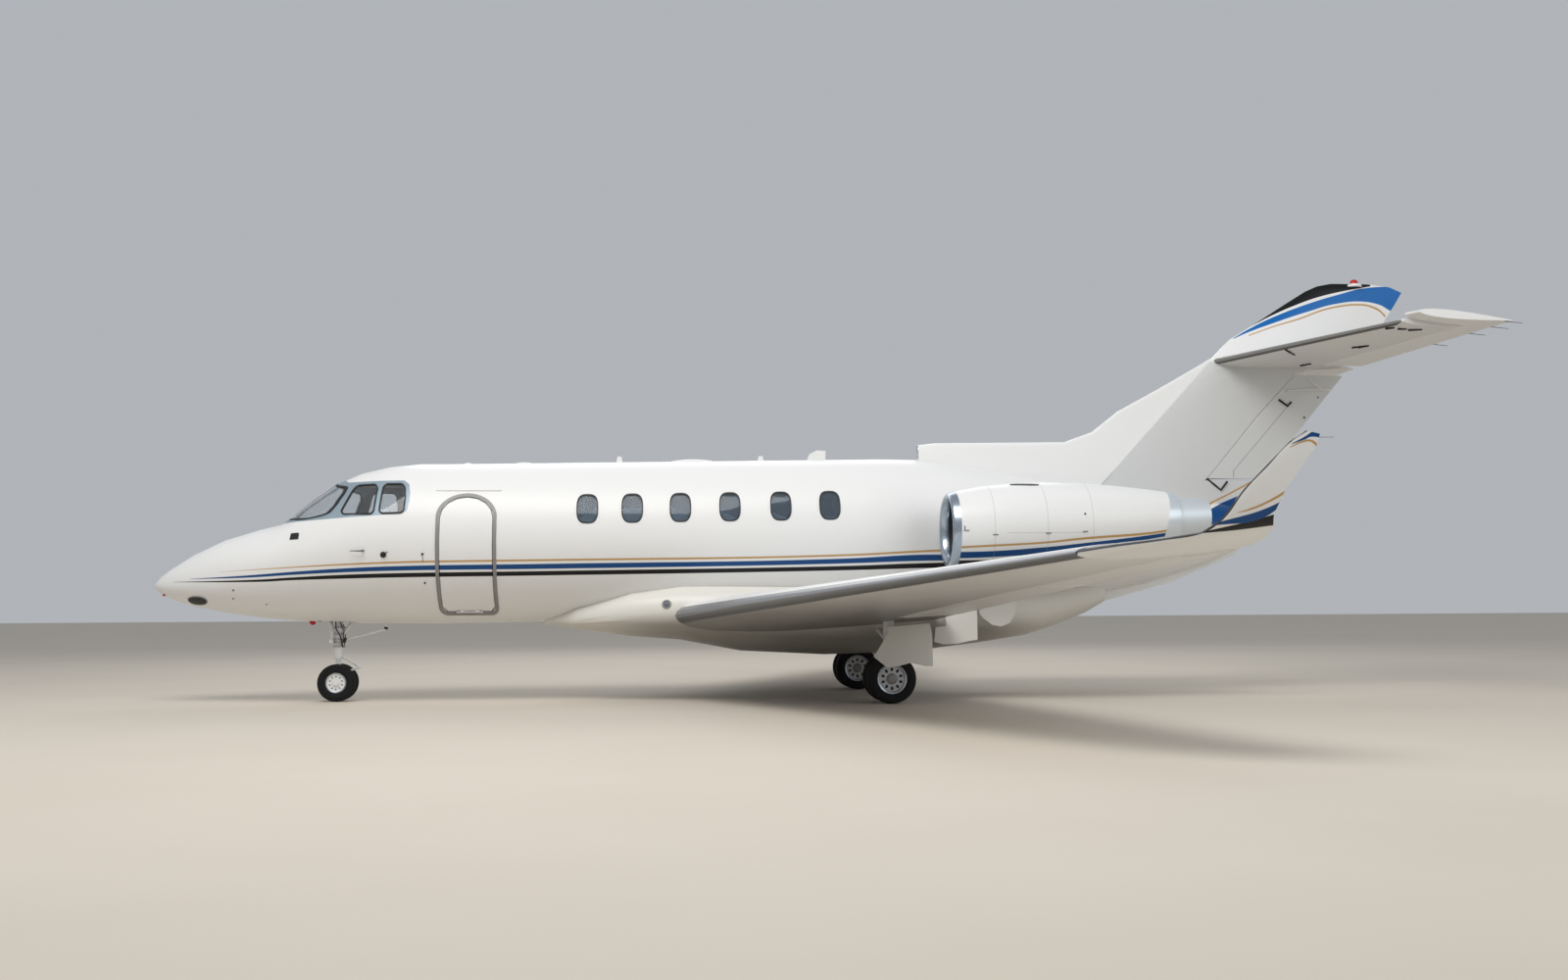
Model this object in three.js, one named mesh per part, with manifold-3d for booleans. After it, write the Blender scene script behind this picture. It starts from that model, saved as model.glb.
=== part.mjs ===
// Twin-engined business jet, parked on its gear with its controls at rest.
// Units are millimetres. +X points to the nose, +Y to port, +Z up, and the ground is z = 0.
// Stations are distances aft of the nose tip.

import * as THREE from 'three';
import { mergeVertices } from 'three/addons/utils/BufferGeometryUtils.js';
import Module from 'manifold-3d';

const wasm = await Module();
wasm.setup();

// Driving dimensions
const LENGTH = 15600;
const NOSE_X = LENGTH / 2;
const GAP = 0.3;
const MOVE_GAP = 8;
const DEG = Math.PI / 180;

// Body: radius of the round cabin, its level, and how much the body rises going aft
const BODY_R = 965;
const BODY_TILT = 0.014;
const BODY_Z = 1889;
const BODY_Z_STATION = 4000;
const WALL = 80;
const REAR_WALL = 40;
const FLOOR_DEPTH = 110;
const BULKHEAD = 40;
const BODY_SIDES = 28;
const RADOME_END = 830;
const COCKPIT_START = 1500;
const CABIN_START = 3290;
const CABIN_END = 9000;
const TAIL_END = 13750;

// Cabin windows and door
const WINDOW_STATIONS = [5130, 5650, 6210, 6790, 7390, 7970];
const WINDOW_HALF_W = 125;
const WINDOW_HALF_H = 175;
const WINDOW_RISE = 342;
const DOOR_FRONT = 3450;
const DOOR_REAR = 4045;
const DOOR_LOW = 1065;
const DOOR_HIGH = 2380;
const DOOR_CORNER = 50;

// Wing
const WING_ROOT_Y = 1000;
const WING_TIP_Y = 7350;
const WING_LE_STATION = 6160;
const WING_LE_SWEEP = 0.450;
const WING_TE_STATION = 9210;
const WING_TE_SWEEP = 0.165;
const WING_LE_Z = 1008;
const WING_LE_RISE = 0.0772;
const WING_INCIDENCE = [1.3, -1.0];
const WING_THICKNESS = [0.135, 0.095];
const SPAR_CHORD = 0.72;
const FLAP_Y = [1880, 4950];
const AILERON_Y = [4990, 7150];
const TYRE_MAIN_R = 280;
const TYRE_NOSE_R = 222;

// Places of the gear
const NOSE_GEAR = 2145;
const MAIN_GEAR = 8572;
const MAIN_TRACK_HALF = 1395;
const NOSE_BAY_TOP = 985;
const NOSE_BAY_HALF = 160;
const NOSE_BAY_STATIONS = [1920, 2380];

// Engines
const ENGINE_Y = 1393;

// Tail
const TAILPLANE_Z = 4185;
const TAILPLANE_HALF = 3050;

const COLOURS = {
  white: 0xf4f4f2,
  belly: 0xe9e4db,
  polished: 0xc4c8cc,
  metal: 0x8f949a,
  glass: 0x6f8496,
  rubber: 0x1c1c1d,
  leather: 0xcdbfa8,
  trim: 0x3b3a38,
};

const jet = new THREE.Group();

// Scene helpers
function material(colour, roughness, metalness) {
  return new THREE.MeshStandardMaterial({ color: colour, roughness, metalness });
}

const PAINT = material(COLOURS.white, 0.25, 0.1);
const BELLY_PAINT = material(COLOURS.belly, 0.3, 0.1);
const POLISHED = material(COLOURS.polished, 0.2, 0.9);
const METAL = material(COLOURS.metal, 0.4, 0.8);
const GLASS = material(COLOURS.glass, 0.05, 0);
const RUBBER = material(COLOURS.rubber, 0.85, 0);
const LEATHER = material(COLOURS.leather, 0.6, 0);
const TRIM = material(COLOURS.trim, 0.7, 0);

function toSolid(geometry) {
  const bare = geometry.clone();
  bare.deleteAttribute('normal');
  bare.deleteAttribute('uv');
  const merged = mergeVertices(bare, 1e-3);
  const triangles = new Uint32Array(merged.index.array);
  const points = new Float32Array(merged.attributes.position.array);
  return new wasm.Manifold(new wasm.Mesh({ numProp: 3, vertProperties: points, triVerts: triangles }));
}

function toGeometry(solid) {
  const mesh = solid.getMesh();
  const geometry = new THREE.BufferGeometry();
  const points = new Float32Array((mesh.vertProperties.length / mesh.numProp) * 3);
  for (let i = 0; i < points.length / 3; i += 1) {
    for (let k = 0; k < 3; k += 1) {
      points[i * 3 + k] = mesh.vertProperties[i * mesh.numProp + k];
    }
  }
  geometry.setAttribute('position', new THREE.BufferAttribute(points, 3));
  geometry.setIndex(new THREE.BufferAttribute(new Uint32Array(mesh.triVerts), 1));
  return geometry;
}

function add(name, solid, look) {
  const mesh = new THREE.Mesh(toGeometry(solid), look);
  mesh.name = name;
  jet.add(mesh);
}

// A piece and its mirror image, each cut back by its neighbours
function addBothSides(name, solid, look, neighbours = []) {
  const cutBack = (side) => neighbours.reduce((rest, neighbour) => rest.subtract(neighbour), side);
  add(`${name}_left`, cutBack(solid), look);
  add(`${name}_right`, cutBack(solid.mirror([0, 1, 0])), look);
}

// A point from its station aft of the nose, its distance to port and its height
function at(station, y, z) {
  return [NOSE_X - station, y, z];
}

// Shape helpers
// Closed rings with the same number of points become one closed solid
function loft(rings) {
  const count = rings[0].length;
  const points = rings.flat(2);
  const index = [];
  for (let r = 0; r + 1 < rings.length; r += 1) {
    for (let i = 0; i < count; i += 1) {
      const a = r * count + i;
      const b = r * count + ((i + 1) % count);
      index.push(a, b, b + count, a, b + count, a + count);
    }
  }
  const caps = [[0, true], [rings.length - 1, false]];
  for (const [r, flip] of caps) {
    for (const face of capFaces(rings[r])) {
      const [a, b, c] = face.map((i) => i + r * count);
      index.push(...(flip ? [a, c, b] : [a, b, c]));
    }
  }
  const geometry = new THREE.BufferGeometry();
  geometry.setAttribute('position', new THREE.Float32BufferAttribute(points, 3));
  geometry.setIndex(signedVolume(points, index) < 0 ? reversed(index) : index);
  return toSolid(geometry);
}

function capFaces(ring) {
  const vectors = ring.map((p) => new THREE.Vector3(...p));
  const normal = new THREE.Vector3();
  vectors.forEach((p, i) => {
    const q = vectors[(i + 1) % vectors.length];
    normal.x += (p.y - q.y) * (p.z + q.z);
    normal.y += (p.z - q.z) * (p.x + q.x);
    normal.z += (p.x - q.x) * (p.y + q.y);
  });
  normal.normalize();
  const along = new THREE.Vector3(1, 0, 0);
  if (Math.abs(normal.x) > 0.8) {
    along.set(0, 1, 0);
  }
  const across = new THREE.Vector3().crossVectors(normal, along).normalize();
  along.crossVectors(across, normal);
  const flat = vectors.map((p) => new THREE.Vector2(p.dot(along), p.dot(across)));
  return THREE.ShapeUtils.triangulateShape(flat, []);
}

function signedVolume(points, index) {
  const corner = (i) => new THREE.Vector3(...points.slice(index[i] * 3, index[i] * 3 + 3));
  let sum = 0;
  for (let i = 0; i < index.length; i += 3) {
    sum += corner(i).dot(corner(i + 1).cross(corner(i + 2)));
  }
  return sum;
}

function reversed(index) {
  const turned = [];
  for (let i = 0; i < index.length; i += 3) {
    turned.push(index[i], index[i + 2], index[i + 1]);
  }
  return turned;
}

function box(low, high) {
  const size = high.map((h, i) => h - low[i]);
  const geometry = new THREE.BoxGeometry(...size);
  geometry.translate(...high.map((h, i) => (h + low[i]) / 2));
  return toSolid(geometry);
}

// A box from stations, port distances and heights
function block(stations, ys, zs) {
  return box([NOSE_X - stations[1], ys[0], zs[0]], [NOSE_X - stations[0], ys[1], zs[1]]);
}

// The turn that lays a shape made along Y on another direction
function turnTo(direction) {
  return new THREE.Quaternion().setFromUnitVectors(new THREE.Vector3(0, 1, 0), direction.normalize());
}

// A round bar between two points, wider at one end where two radii are given
function bar(from, to, radius, endRadius = radius, sides = 8) {
  const a = new THREE.Vector3(...from);
  const b = new THREE.Vector3(...to);
  const geometry = new THREE.CylinderGeometry(endRadius, radius, a.distanceTo(b), sides);
  geometry.applyQuaternion(turnTo(b.clone().sub(a)));
  geometry.translate(...a.add(b).multiplyScalar(0.5).toArray());
  return toSolid(geometry);
}

// A side-view outline of [station, height] points, extruded between two port distances
function sidePrism(outline, low, high) {
  return loft([low, high].map((y) => outline.map(([s, z]) => at(s, y, z))));
}

// A side-view outline moved outward along the mean of its edges' normals
function grownOutline(outline, grow) {
  const count = outline.length;
  const area = outline.reduce((sum, [s, z], i) => {
    const [s2, z2] = outline[(i + 1) % count];
    return sum + s * z2 - s2 * z;
  }, 0);
  const way = Math.sign(area);
  return outline.map(([s, z], i) => {
    const before = new THREE.Vector2(...outline[(i + count - 1) % count]);
    const after = new THREE.Vector2(...outline[(i + 1) % count]);
    const here = new THREE.Vector2(s, z);
    const a = here.clone().sub(before).normalize();
    const b = after.sub(here).normalize();
    const normal = new THREE.Vector2(a.y + b.y, -a.x - b.x).normalize();
    const stretch = 1 / Math.max(0.4, normal.x * a.y - normal.y * a.x);
    return [s + way * normal.x * grow * stretch, z + way * normal.y * grow * stretch];
  });
}

// A rounded rectangle or oval of the given power, seen from the side
function ovalOutline(station, z, halfWidth, halfHeight, power, sides) {
  return Array.from({ length: sides }, (_, i) => {
    const t = (i / sides) * 2 * Math.PI;
    const c = Math.cos(t);
    const s = Math.sin(t);
    return [
      station + halfWidth * Math.sign(c) * Math.abs(c) ** (2 / power),
      z + halfHeight * Math.sign(s) * Math.abs(s) ** (2 / power),
    ];
  });
}

// A round profile of [distance along, radius] points, turned about an axis
function turned(profile, centre, axis, sides, start = 0) {
  const points = profile.map(([along, radius]) => new THREE.Vector2(radius, along));
  const geometry = new THREE.LatheGeometry(points, sides, start);
  geometry.applyQuaternion(turnTo(new THREE.Vector3(...axis)));
  geometry.translate(...centre);
  return toSolid(geometry);
}

// Smooth interpolation of a table whose first column is the station
function rowAt(table, station) {
  let i = 0;
  while (i + 2 < table.length && table[i + 1][0] < station) {
    i += 1;
  }
  const a = table[i];
  const b = table[i + 1];
  const width = b[0] - a[0];
  const t = Math.min(Math.max((station - a[0]) / width, 0), 1);
  return a.map((value, k) => {
    const slope = (b[k] - value) / width;
    const before = i > 0 ? (value - table[i - 1][k]) / (a[0] - table[i - 1][0]) : slope;
    const after = i + 2 < table.length ? (table[i + 2][k] - b[k]) / (table[i + 2][0] - b[0]) : slope;
    const m0 = before * slope > 0 ? (2 * before * slope) / (before + slope) : 0;
    const m1 = after * slope > 0 ? (2 * after * slope) / (after + slope) : 0;
    const t2 = t * t;
    const t3 = t2 * t;
    return (2 * t3 - 3 * t2 + 1) * value + (t3 - 2 * t2 + t) * width * m0
      + (-2 * t3 + 3 * t2) * b[k] + (t3 - t2) * width * m1;
  });
}

// Body
function bodyAxis(station) {
  return BODY_Z + BODY_TILT * (station - BODY_Z_STATION);
}

// Columns: station, half width, lowest z, z of the widest place, highest z, power of the upper half
const BODY_TABLE = [
  [0, 14, 1369, 1383, 1397, 2],
  [75, 108, 1291, 1382, 1488, 2],
  [190, 195, 1230, 1382, 1578, 2],
  [460, 350, 1138, 1400, 1752, 2],
  [830, 500, 1062, 1450, 1930, 2],
  [1250, 640, 998, 1530, 2057, 2],
  [1500, 708, 974, 1590, 2116, 2],
  [1720, 760, 958, 1640, 2315, 1.9],
  [1930, 803, 943, 1690, 2468, 1.8],
  [2160, 845, 932, 1740, 2625, 1.8],
  [2420, 888, 925, 1800, 2735, 1.85],
  [2740, 928, 921, 1850, 2810, 1.95],
  [3100, 955, 917, 1872, 2845, 2],
  ...[3400, 3750, 8350].map((s) => [s, BODY_R, bodyAxis(s) - BODY_R, bodyAxis(s), bodyAxis(s) + BODY_R, 2]),
  [8700, 945, bodyAxis(8700) - BODY_R, bodyAxis(8700), bodyAxis(8700) + BODY_R, 2],
  [9400, 845, 1002, 1955, 2905, 2],
  [10200, 735, 1055, 1945, 2770, 2],
  [11200, 620, 1185, 1940, 2560, 2],
  [12100, 490, 1375, 1975, 2440, 2],
  [12900, 340, 1610, 2020, 2380, 2],
  [13500, 185, 1890, 2110, 2330, 2],
  [TAIL_END, 90, 2060, 2165, 2270, 2],
];

function bodyRing(station, grow = 0) {
  const [, half, low, wide, high, power] = rowAt(BODY_TABLE, station);
  return Array.from({ length: BODY_SIDES }, (_, i) => {
    const t = (i / BODY_SIDES) * 2 * Math.PI;
    const c = Math.cos(t);
    const s = Math.sin(t);
    const n = s > 0 ? power : 2;
    const reach = s > 0 ? high - wide : wide - low;
    return at(
      station,
      (half + grow) * Math.sign(c) * Math.abs(c) ** (2 / n),
      wide + (reach + grow) * Math.sign(s) * Math.abs(s) ** (2 / n),
    );
  });
}

// The body's stations between two ends, with the ends themselves
function bodyStations(from, to) {
  const inner = BODY_TABLE.map((row) => row[0])
    .concat([CABIN_START, CABIN_END])
    .sort((a, b) => a - b)
    .filter((s) => s > from + 20 && s < to - 20);
  return [from, ...inner, to];
}

function bodyLoft(from, to, grow = 0) {
  return loft(bodyStations(from, to).map((s) => bodyRing(s, grow)));
}

// The room inside the body's wall between two stations
function bodyRoom(from, to, wall = WALL) {
  const stations = [from, ...bodyStations(from + 10, to - 10).slice(1, -1), to];
  return loft(stations.map((s) => bodyRing(s, -wall)));
}

function bodyTube(from, to) {
  return bodyLoft(from, to).subtract(bodyRoom(from - 10, to + 10));
}

// Everything outside the body is cut back to it with this one
const bodyCutter = bodyLoft(300, TAIL_END, GAP);

add('radome', bodyLoft(0, RADOME_END - GAP), PAINT);
add('nose_section', bodyLoft(RADOME_END, COCKPIT_START - GAP), PAINT);

// The rear body is a skin around an empty bay that ends under the fin
const AFT_BAY_END = 12900;
const aftBay = bodyRoom(CABIN_END - 10, AFT_BAY_END, REAR_WALL);
const aftBody = bodyLoft(CABIN_END + GAP, TAIL_END).subtract(aftBay);

// Cockpit: the frame that carries the glass is its own piece, cut out of the shell
const FRAME_OUTLINE = [
  [1452, 2085], [1530, 2104], [1900, 2124], [2260, 2146], [3020, 2190],
  [3066, 2226], [3086, 2330], [3084, 2440], [3058, 2545], [2990, 2595],
  [2600, 2594], [2300, 2590], [2190, 2650], [2080, 2760], [1400, 2400],
];
const SIDE_WINDOW_FRONT = [
  [2299, 2225], [2334, 2196], [2654, 2198], [2681, 2228],
  [2688, 2505], [2656, 2546], [2440, 2540], [2404, 2500],
];
const SIDE_WINDOW_REAR = [
  [2752, 2228], [2778, 2203], [2998, 2206], [3028, 2238], [3030, 2370],
  [3014, 2505], [2972, 2548], [2792, 2548], [2764, 2515],
];
// The windscreen pane as seen from ahead: [port distance, height]
const WINDSCREEN = [[38, 2165], [590, 2152], [672, 2200], [632, 2300], [530, 2447], [445, 2525], [38, 2590]];
const WINDSCREEN_STATIONS = [1380, 2300];
const FRAME_DEPTH = 30;
const GLASS_DEPTH = 20;

function aheadPrism(outline, stations) {
  return loft(stations.map((s) => outline.map(([y, z]) => at(s, y, z))));
}

const cockpitOpenings = [
  aheadPrism(WINDSCREEN, WINDSCREEN_STATIONS),
  sidePrism(SIDE_WINDOW_FRONT, 300, 1200),
  sidePrism(SIDE_WINDOW_REAR, 300, 1200),
];
const cockpitTube = bodyTube(COCKPIT_START, CABIN_START - GAP);
const framePrism = sidePrism(FRAME_OUTLINE, -1200, 1200);
const frameRing = bodyLoft(COCKPIT_START, CABIN_START - GAP)
  .subtract(bodyLoft(COCKPIT_START - 10, CABIN_START, -FRAME_DEPTH));
let cockpitFrame = frameRing.intersect(framePrism);
for (const opening of cockpitOpenings) {
  cockpitFrame = cockpitFrame.subtract(opening).subtract(opening.mirror([0, 1, 0]));
}
const glassRing = bodyLoft(COCKPIT_START, CABIN_START - GAP, -FRAME_DEPTH - GAP)
  .subtract(bodyLoft(COCKPIT_START - 10, CABIN_START, -FRAME_DEPTH - GLASS_DEPTH));
const framePrismWide = sidePrism(grownOutline(FRAME_OUTLINE, GAP), -1210, 1210);
add('cockpit_frame', cockpitFrame, POLISHED);
add('cockpit_glass', glassRing.intersect(framePrism), GLASS);
const noseBayRoom = block(NOSE_BAY_STATIONS, [-NOSE_BAY_HALF, NOSE_BAY_HALF], [850, NOSE_BAY_TOP]);
add('cockpit_shell', cockpitTube.subtract(framePrismWide).subtract(noseBayRoom), PAINT);

// Cabin
const windowPrism = WINDOW_STATIONS.map((s) => sidePrism(
  ovalOutline(s, bodyAxis(s) + WINDOW_RISE, WINDOW_HALF_W, WINDOW_HALF_H, 3, 12),
  -1200,
  1200,
)).reduce((a, b) => a.add(b));

// The door's outline: straight sides, a round top and small lower corners
function doorOutline(grow) {
  const front = DOOR_FRONT - grow;
  const rear = DOOR_REAR + grow;
  const middle = (front + rear) / 2;
  const radius = (rear - front) / 2;
  const arch = Array.from({ length: 9 }, (_, i) => {
    const t = (i / 8) * Math.PI;
    return [middle - radius * Math.cos(t), DOOR_HIGH + grow - radius * 0.8 + radius * 0.8 * Math.sin(t)];
  });
  const low = DOOR_LOW - grow;
  return [
    ...arch,
    [rear, low + DOOR_CORNER],
    [rear - DOOR_CORNER, low],
    [front + DOOR_CORNER, low],
    [front, low + DOOR_CORNER],
  ];
}

// The door turns about a pin below its outer edge, held between two lugs of the sill
const DOOR_PIVOT = [522, 1052];
const DOOR_PIN_FROM = 3620;
const DOOR_PIN_TO = 3880;
const DOOR_LUG = 20;
const DOOR_ARM = 40;

function alongDoor(from, to, radius) {
  return bar(at(from, ...DOOR_PIVOT), at(to, ...DOOR_PIVOT), radius);
}

const [pivotY, pivotZ] = DOOR_PIVOT;
const doorLugs = [DOOR_PIN_FROM - GAP - DOOR_LUG, DOOR_PIN_TO + GAP]
  .map((from) => alongDoor(from, from + DOOR_LUG, 9)
    .add(block([from, from + DOOR_LUG], [440, pivotY], [pivotZ - 6, pivotZ + 2])))
  .reduce((a, b) => a.add(b));
const doorPin = [DOOR_PIN_FROM + DOOR_LUG, DOOR_PIN_TO - DOOR_LUG - DOOR_ARM]
  .map((from) => block([from, from + DOOR_ARM], [pivotY - 16, pivotY + 4], [pivotZ - 2, pivotZ + 26]))
  .reduce((a, b) => a.add(b), alongDoor(DOOR_PIN_FROM, DOOR_PIN_TO, 6));

const cabinTube = bodyTube(CABIN_START, CABIN_END);
const doorCut = sidePrism(doorOutline(MOVE_GAP), 200, 1200);
const bulkhead = bodyLoft(CABIN_END - BULKHEAD, CABIN_END, -WALL + 5);
const cabinShell = cabinTube.subtract(windowPrism).subtract(doorCut).add(doorLugs).add(bulkhead);
add('cabin_shell', cabinShell, PAINT);
const doorSkin = cabinTube.intersect(sidePrism(doorOutline(0), 200, 1200));

// Glass strips lie against the inside of the cabin wall
const stripFrom = WINDOW_STATIONS[0] - 220;
const stripTo = WINDOW_STATIONS[5] + 220;
const stripSheet = loft([stripFrom, stripTo].map((s) => bodyRing(s, -WALL - GAP)))
  .subtract(loft([stripFrom - 10, stripTo + 10].map((s) => bodyRing(s, -WALL - 10))));
const strip = stripSheet.intersect(block([stripFrom, stripTo], [300, 1200], [2000, 2500]));
addBothSides('cabin_windows', strip, GLASS);

// Door: four steps are fixed to its inner face
const doorSteps = [0, 1, 2, 3].map((i) => {
  const z = 1290 + i * 250;
  const skin = Math.sqrt((BODY_R - WALL) ** 2 - (z - bodyAxis(DOOR_FRONT)) ** 2);
  return block([DOOR_FRONT + 90, DOOR_REAR - 90], [skin - 190, skin + 50], [z, z + 28]);
}).reduce((a, b) => a.add(b));
const insideDoor = loft([DOOR_FRONT - 200, DOOR_REAR + 200].map((s) => bodyRing(s, -WALL + 20)));
add('door', doorSkin.add(doorSteps.intersect(insideDoor)).add(doorPin), PAINT);

// Belly fairing under the wing
// Columns: station, half width, lowest z, z of the widest place, highest z
const BELLY_TABLE = [
  [4600, 200, 898, 935, 970],
  [5000, 620, 835, 960, 1150],
  [5640, 900, 745, 1050, 1350],
  [6220, 1000, 700, 1080, 1430],
  [6960, 1040, 560, 1080, 1410],
  [8000, 1040, 505, 1060, 1390],
  [9000, 1030, 530, 1060, 1380],
  [9900, 960, 640, 1080, 1370],
  [10450, 800, 720, 1110, 1380],
  [10800, 620, 825, 1150, 1380],
  [11250, 380, 990, 1220, 1390],
  [11500, 200, 1120, 1260, 1400],
];
const BELLY_SIDES = 24;

function bellyRing(station, grow = 0) {
  const [, half, low, wide, high] = rowAt(BELLY_TABLE, station);
  return Array.from({ length: BELLY_SIDES }, (_, i) => {
    const t = (i / BELLY_SIDES) * 2 * Math.PI;
    const c = Math.cos(t);
    const s = Math.sin(t);
    const reach = s > 0 ? high - wide : wide - low;
    return at(
      station,
      (half + grow) * Math.sign(c) * Math.abs(c) ** 0.8,
      wide + (reach + grow) * Math.sign(s) * Math.abs(s) ** 0.8,
    );
  });
}

function bellyLoft(grow = 0) {
  return loft(BELLY_TABLE.map((row) => bellyRing(row[0], grow)));
}

add('belly_fairing', bellyLoft().subtract(bodyCutter), BELLY_PAINT);
const bellyCutter = bellyLoft(GAP);

// Wing sections
function thicknessAt(x) {
  return 5 * (0.2969 * Math.sqrt(x) - 0.126 * x - 0.3516 * x ** 2 + 0.2843 * x ** 3 - 0.1036 * x ** 4);
}

function mix(pair, t) {
  return pair[0] + (pair[1] - pair[0]) * t;
}

function wingSection(y) {
  const out = y - WING_ROOT_Y;
  const t = out / (WING_TIP_Y - WING_ROOT_Y);
  const lead = WING_LE_STATION + WING_LE_SWEEP * out;
  const trail = WING_TE_STATION + WING_TE_SWEEP * out;
  return {
    y,
    lead,
    chord: trail - lead,
    z: WING_LE_Z + WING_LE_RISE * out,
    incidence: mix(WING_INCIDENCE, t) * DEG,
    thickness: mix(WING_THICKNESS, t),
  };
}

const CAMBER = 0.012;
const EDGE_HALF = 3;

// A point of the wing's skin: x is the share of the chord, side is 1 above, -1 below, 0 on the mean line
function wingPoint(section, x, side) {
  const half = Math.max(section.thickness * thicknessAt(x) * section.chord, x > 0.5 ? EDGE_HALF : 0);
  const rise = side * half + 4 * CAMBER * x * (1 - x) * section.chord;
  return at(
    section.lead + section.chord * x,
    section.y,
    section.z - section.chord * x * Math.sin(section.incidence) + rise,
  );
}

const WING_X = [0.005, 0.02, 0.06, 0.15, 0.3, 0.45, 0.6, SPAR_CHORD];

function wingRing(y) {
  const section = wingSection(y);
  const upper = WING_X.map((x) => wingPoint(section, x, 1));
  const lower = WING_X.map((x) => wingPoint(section, x, -1)).reverse();
  return [wingPoint(section, 0, 0), ...upper, ...lower];
}

// The part behind the rear spar, with a round nose about its hinge line
const HINGE_SET_BACK = 10;

function hingeX(section) {
  return SPAR_CHORD + section.thickness * thicknessAt(0.75) + HINGE_SET_BACK / section.chord;
}

function hingePoint(y) {
  const section = wingSection(y);
  return wingPoint(section, hingeX(section), 0);
}

function trailingRing(y) {
  const section = wingSection(y);
  const x0 = hingeX(section);
  const xs = [x0, 0.86, 0.93, 1];
  const centre = wingPoint(section, x0, 0);
  const radius = wingPoint(section, x0, 1)[2] - centre[2];
  const nose = [1, 2, 3, 4, 5].map((i) => {
    const t = Math.PI / 2 + (i / 6) * Math.PI;
    return [centre[0] - radius * Math.cos(t), y, centre[2] + radius * Math.sin(t)];
  });
  return [
    ...xs.map((x) => wingPoint(section, x, 1)).reverse(),
    ...nose,
    ...xs.map((x) => wingPoint(section, x, -1)),
  ];
}

function fixedTrailingRing(y) {
  const section = wingSection(y);
  const xs = [SPAR_CHORD - 0.01, 0.86, 0.93, 1];
  return [
    ...xs.map((x) => wingPoint(section, x, 1)).reverse(),
    ...xs.map((x) => wingPoint(section, x, -1)),
  ];
}

const hingeInner = new THREE.Vector3(...hingePoint(FLAP_Y[0]));
const hingeOuter = new THREE.Vector3(...hingePoint(AILERON_Y[1]));
const hingeLine = hingeOuter.clone().sub(hingeInner).normalize();

// Where along the hinge line a port distance lies
function alongHinge(y) {
  const t = (y - hingeInner.y) / (hingeOuter.y - hingeInner.y);
  return hingeInner.clone().lerp(hingeOuter, t).dot(hingeLine);
}

// The piece of a solid between two places on the hinge line, cut square to it
function between(solid, low, high) {
  const n = hingeLine.toArray();
  const back = hingeLine.clone().negate().toArray();
  return solid.trimByPlane(n, alongHinge(low)).trimByPlane(back, -alongHinge(high));
}

const INNER_Y = 700;
const wingBox = loft([INNER_Y, 2500, 4300, 6000, WING_TIP_Y].map(wingRing));
const rootTrail = loft([INNER_Y, 2500].map(fixedTrailingRing)).trimByPlane(
  hingeLine.clone().negate().toArray(),
  -alongHinge(FLAP_Y[0] - MOVE_GAP),
);
const tipTrail = loft([6600, WING_TIP_Y].map(fixedTrailingRing)).trimByPlane(
  hingeLine.toArray(),
  alongHinge(AILERON_Y[1] + MOVE_GAP),
);
// A short pin on a hinge line that reaches to the end of the moving piece
const PIN_R = 12;

function pinAt(point, axis, from, to) {
  return bar(
    point.clone().addScaledVector(axis, from).toArray(),
    point.clone().addScaledVector(axis, to).toArray(),
    PIN_R,
  );
}

const flapPin = pinAt(hingeInner, hingeLine, -40, -GAP);
const aileronPin = pinAt(hingeOuter, hingeLine, GAP, 40);
const wing = wingBox.add(rootTrail).add(tipTrail).add(flapPin).add(aileronPin);
addBothSides('wing', wing, PAINT, [bellyCutter, bodyCutter]);
const movingTrail = loft([900, 7500].map((y) => trailingRing(y)));
addBothSides('flap', between(movingTrail, ...FLAP_Y), PAINT);
addBothSides('aileron', between(movingTrail, ...AILERON_Y), PAINT);

// Winglet: a blade that turns up from the wing tip
// Columns: port distance, leading station and height, trailing station and height, cant, thickness share
const WINGLET_TABLE = [
  [WING_TIP_Y + GAP, 9018, 1498, 10258, 1531, 0, 0.095],
  [7600, 9200, 1530, 10268, 1548, 8, 0.09],
  [7850, 9490, 1568, 10268, 1588, 20, 0.09],
  [8030, 9715, 1610, 10250, 1650, 42, 0.09],
  [8130, 9830, 1700, 10215, 1740, 66, 0.085],
  [8185, 9980, 1910, 10275, 1900, 80, 0.08],
  [8225, 10120, 2062, 10370, 2050, 82, 0.08],
  [8262, 10290, 2240, 10475, 2200, 82, 0.08],
  [8276, 10400, 2312, 10500, 2290, 82, 0.08],
];

function wingletRing([y, lead, leadZ, trail, trailZ, cant, share]) {
  const chord = trail - lead;
  const xs = [0.02, 0.08, 0.25, 0.5, 0.8, 1];
  const point = (x, side) => {
    const half = side * Math.max(share * thicknessAt(x) * chord, x > 0 ? 2.5 : 0);
    return at(
      lead + chord * x,
      y - half * Math.sin(cant * DEG),
      leadZ + (trailZ - leadZ) * x + half * Math.cos(cant * DEG),
    );
  };
  return [point(0, 0), ...xs.map((x) => point(x, 1)), ...xs.map((x) => point(x, -1)).reverse()];
}

addBothSides('winglet', loft(WINGLET_TABLE.map(wingletRing)), PAINT);

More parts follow.
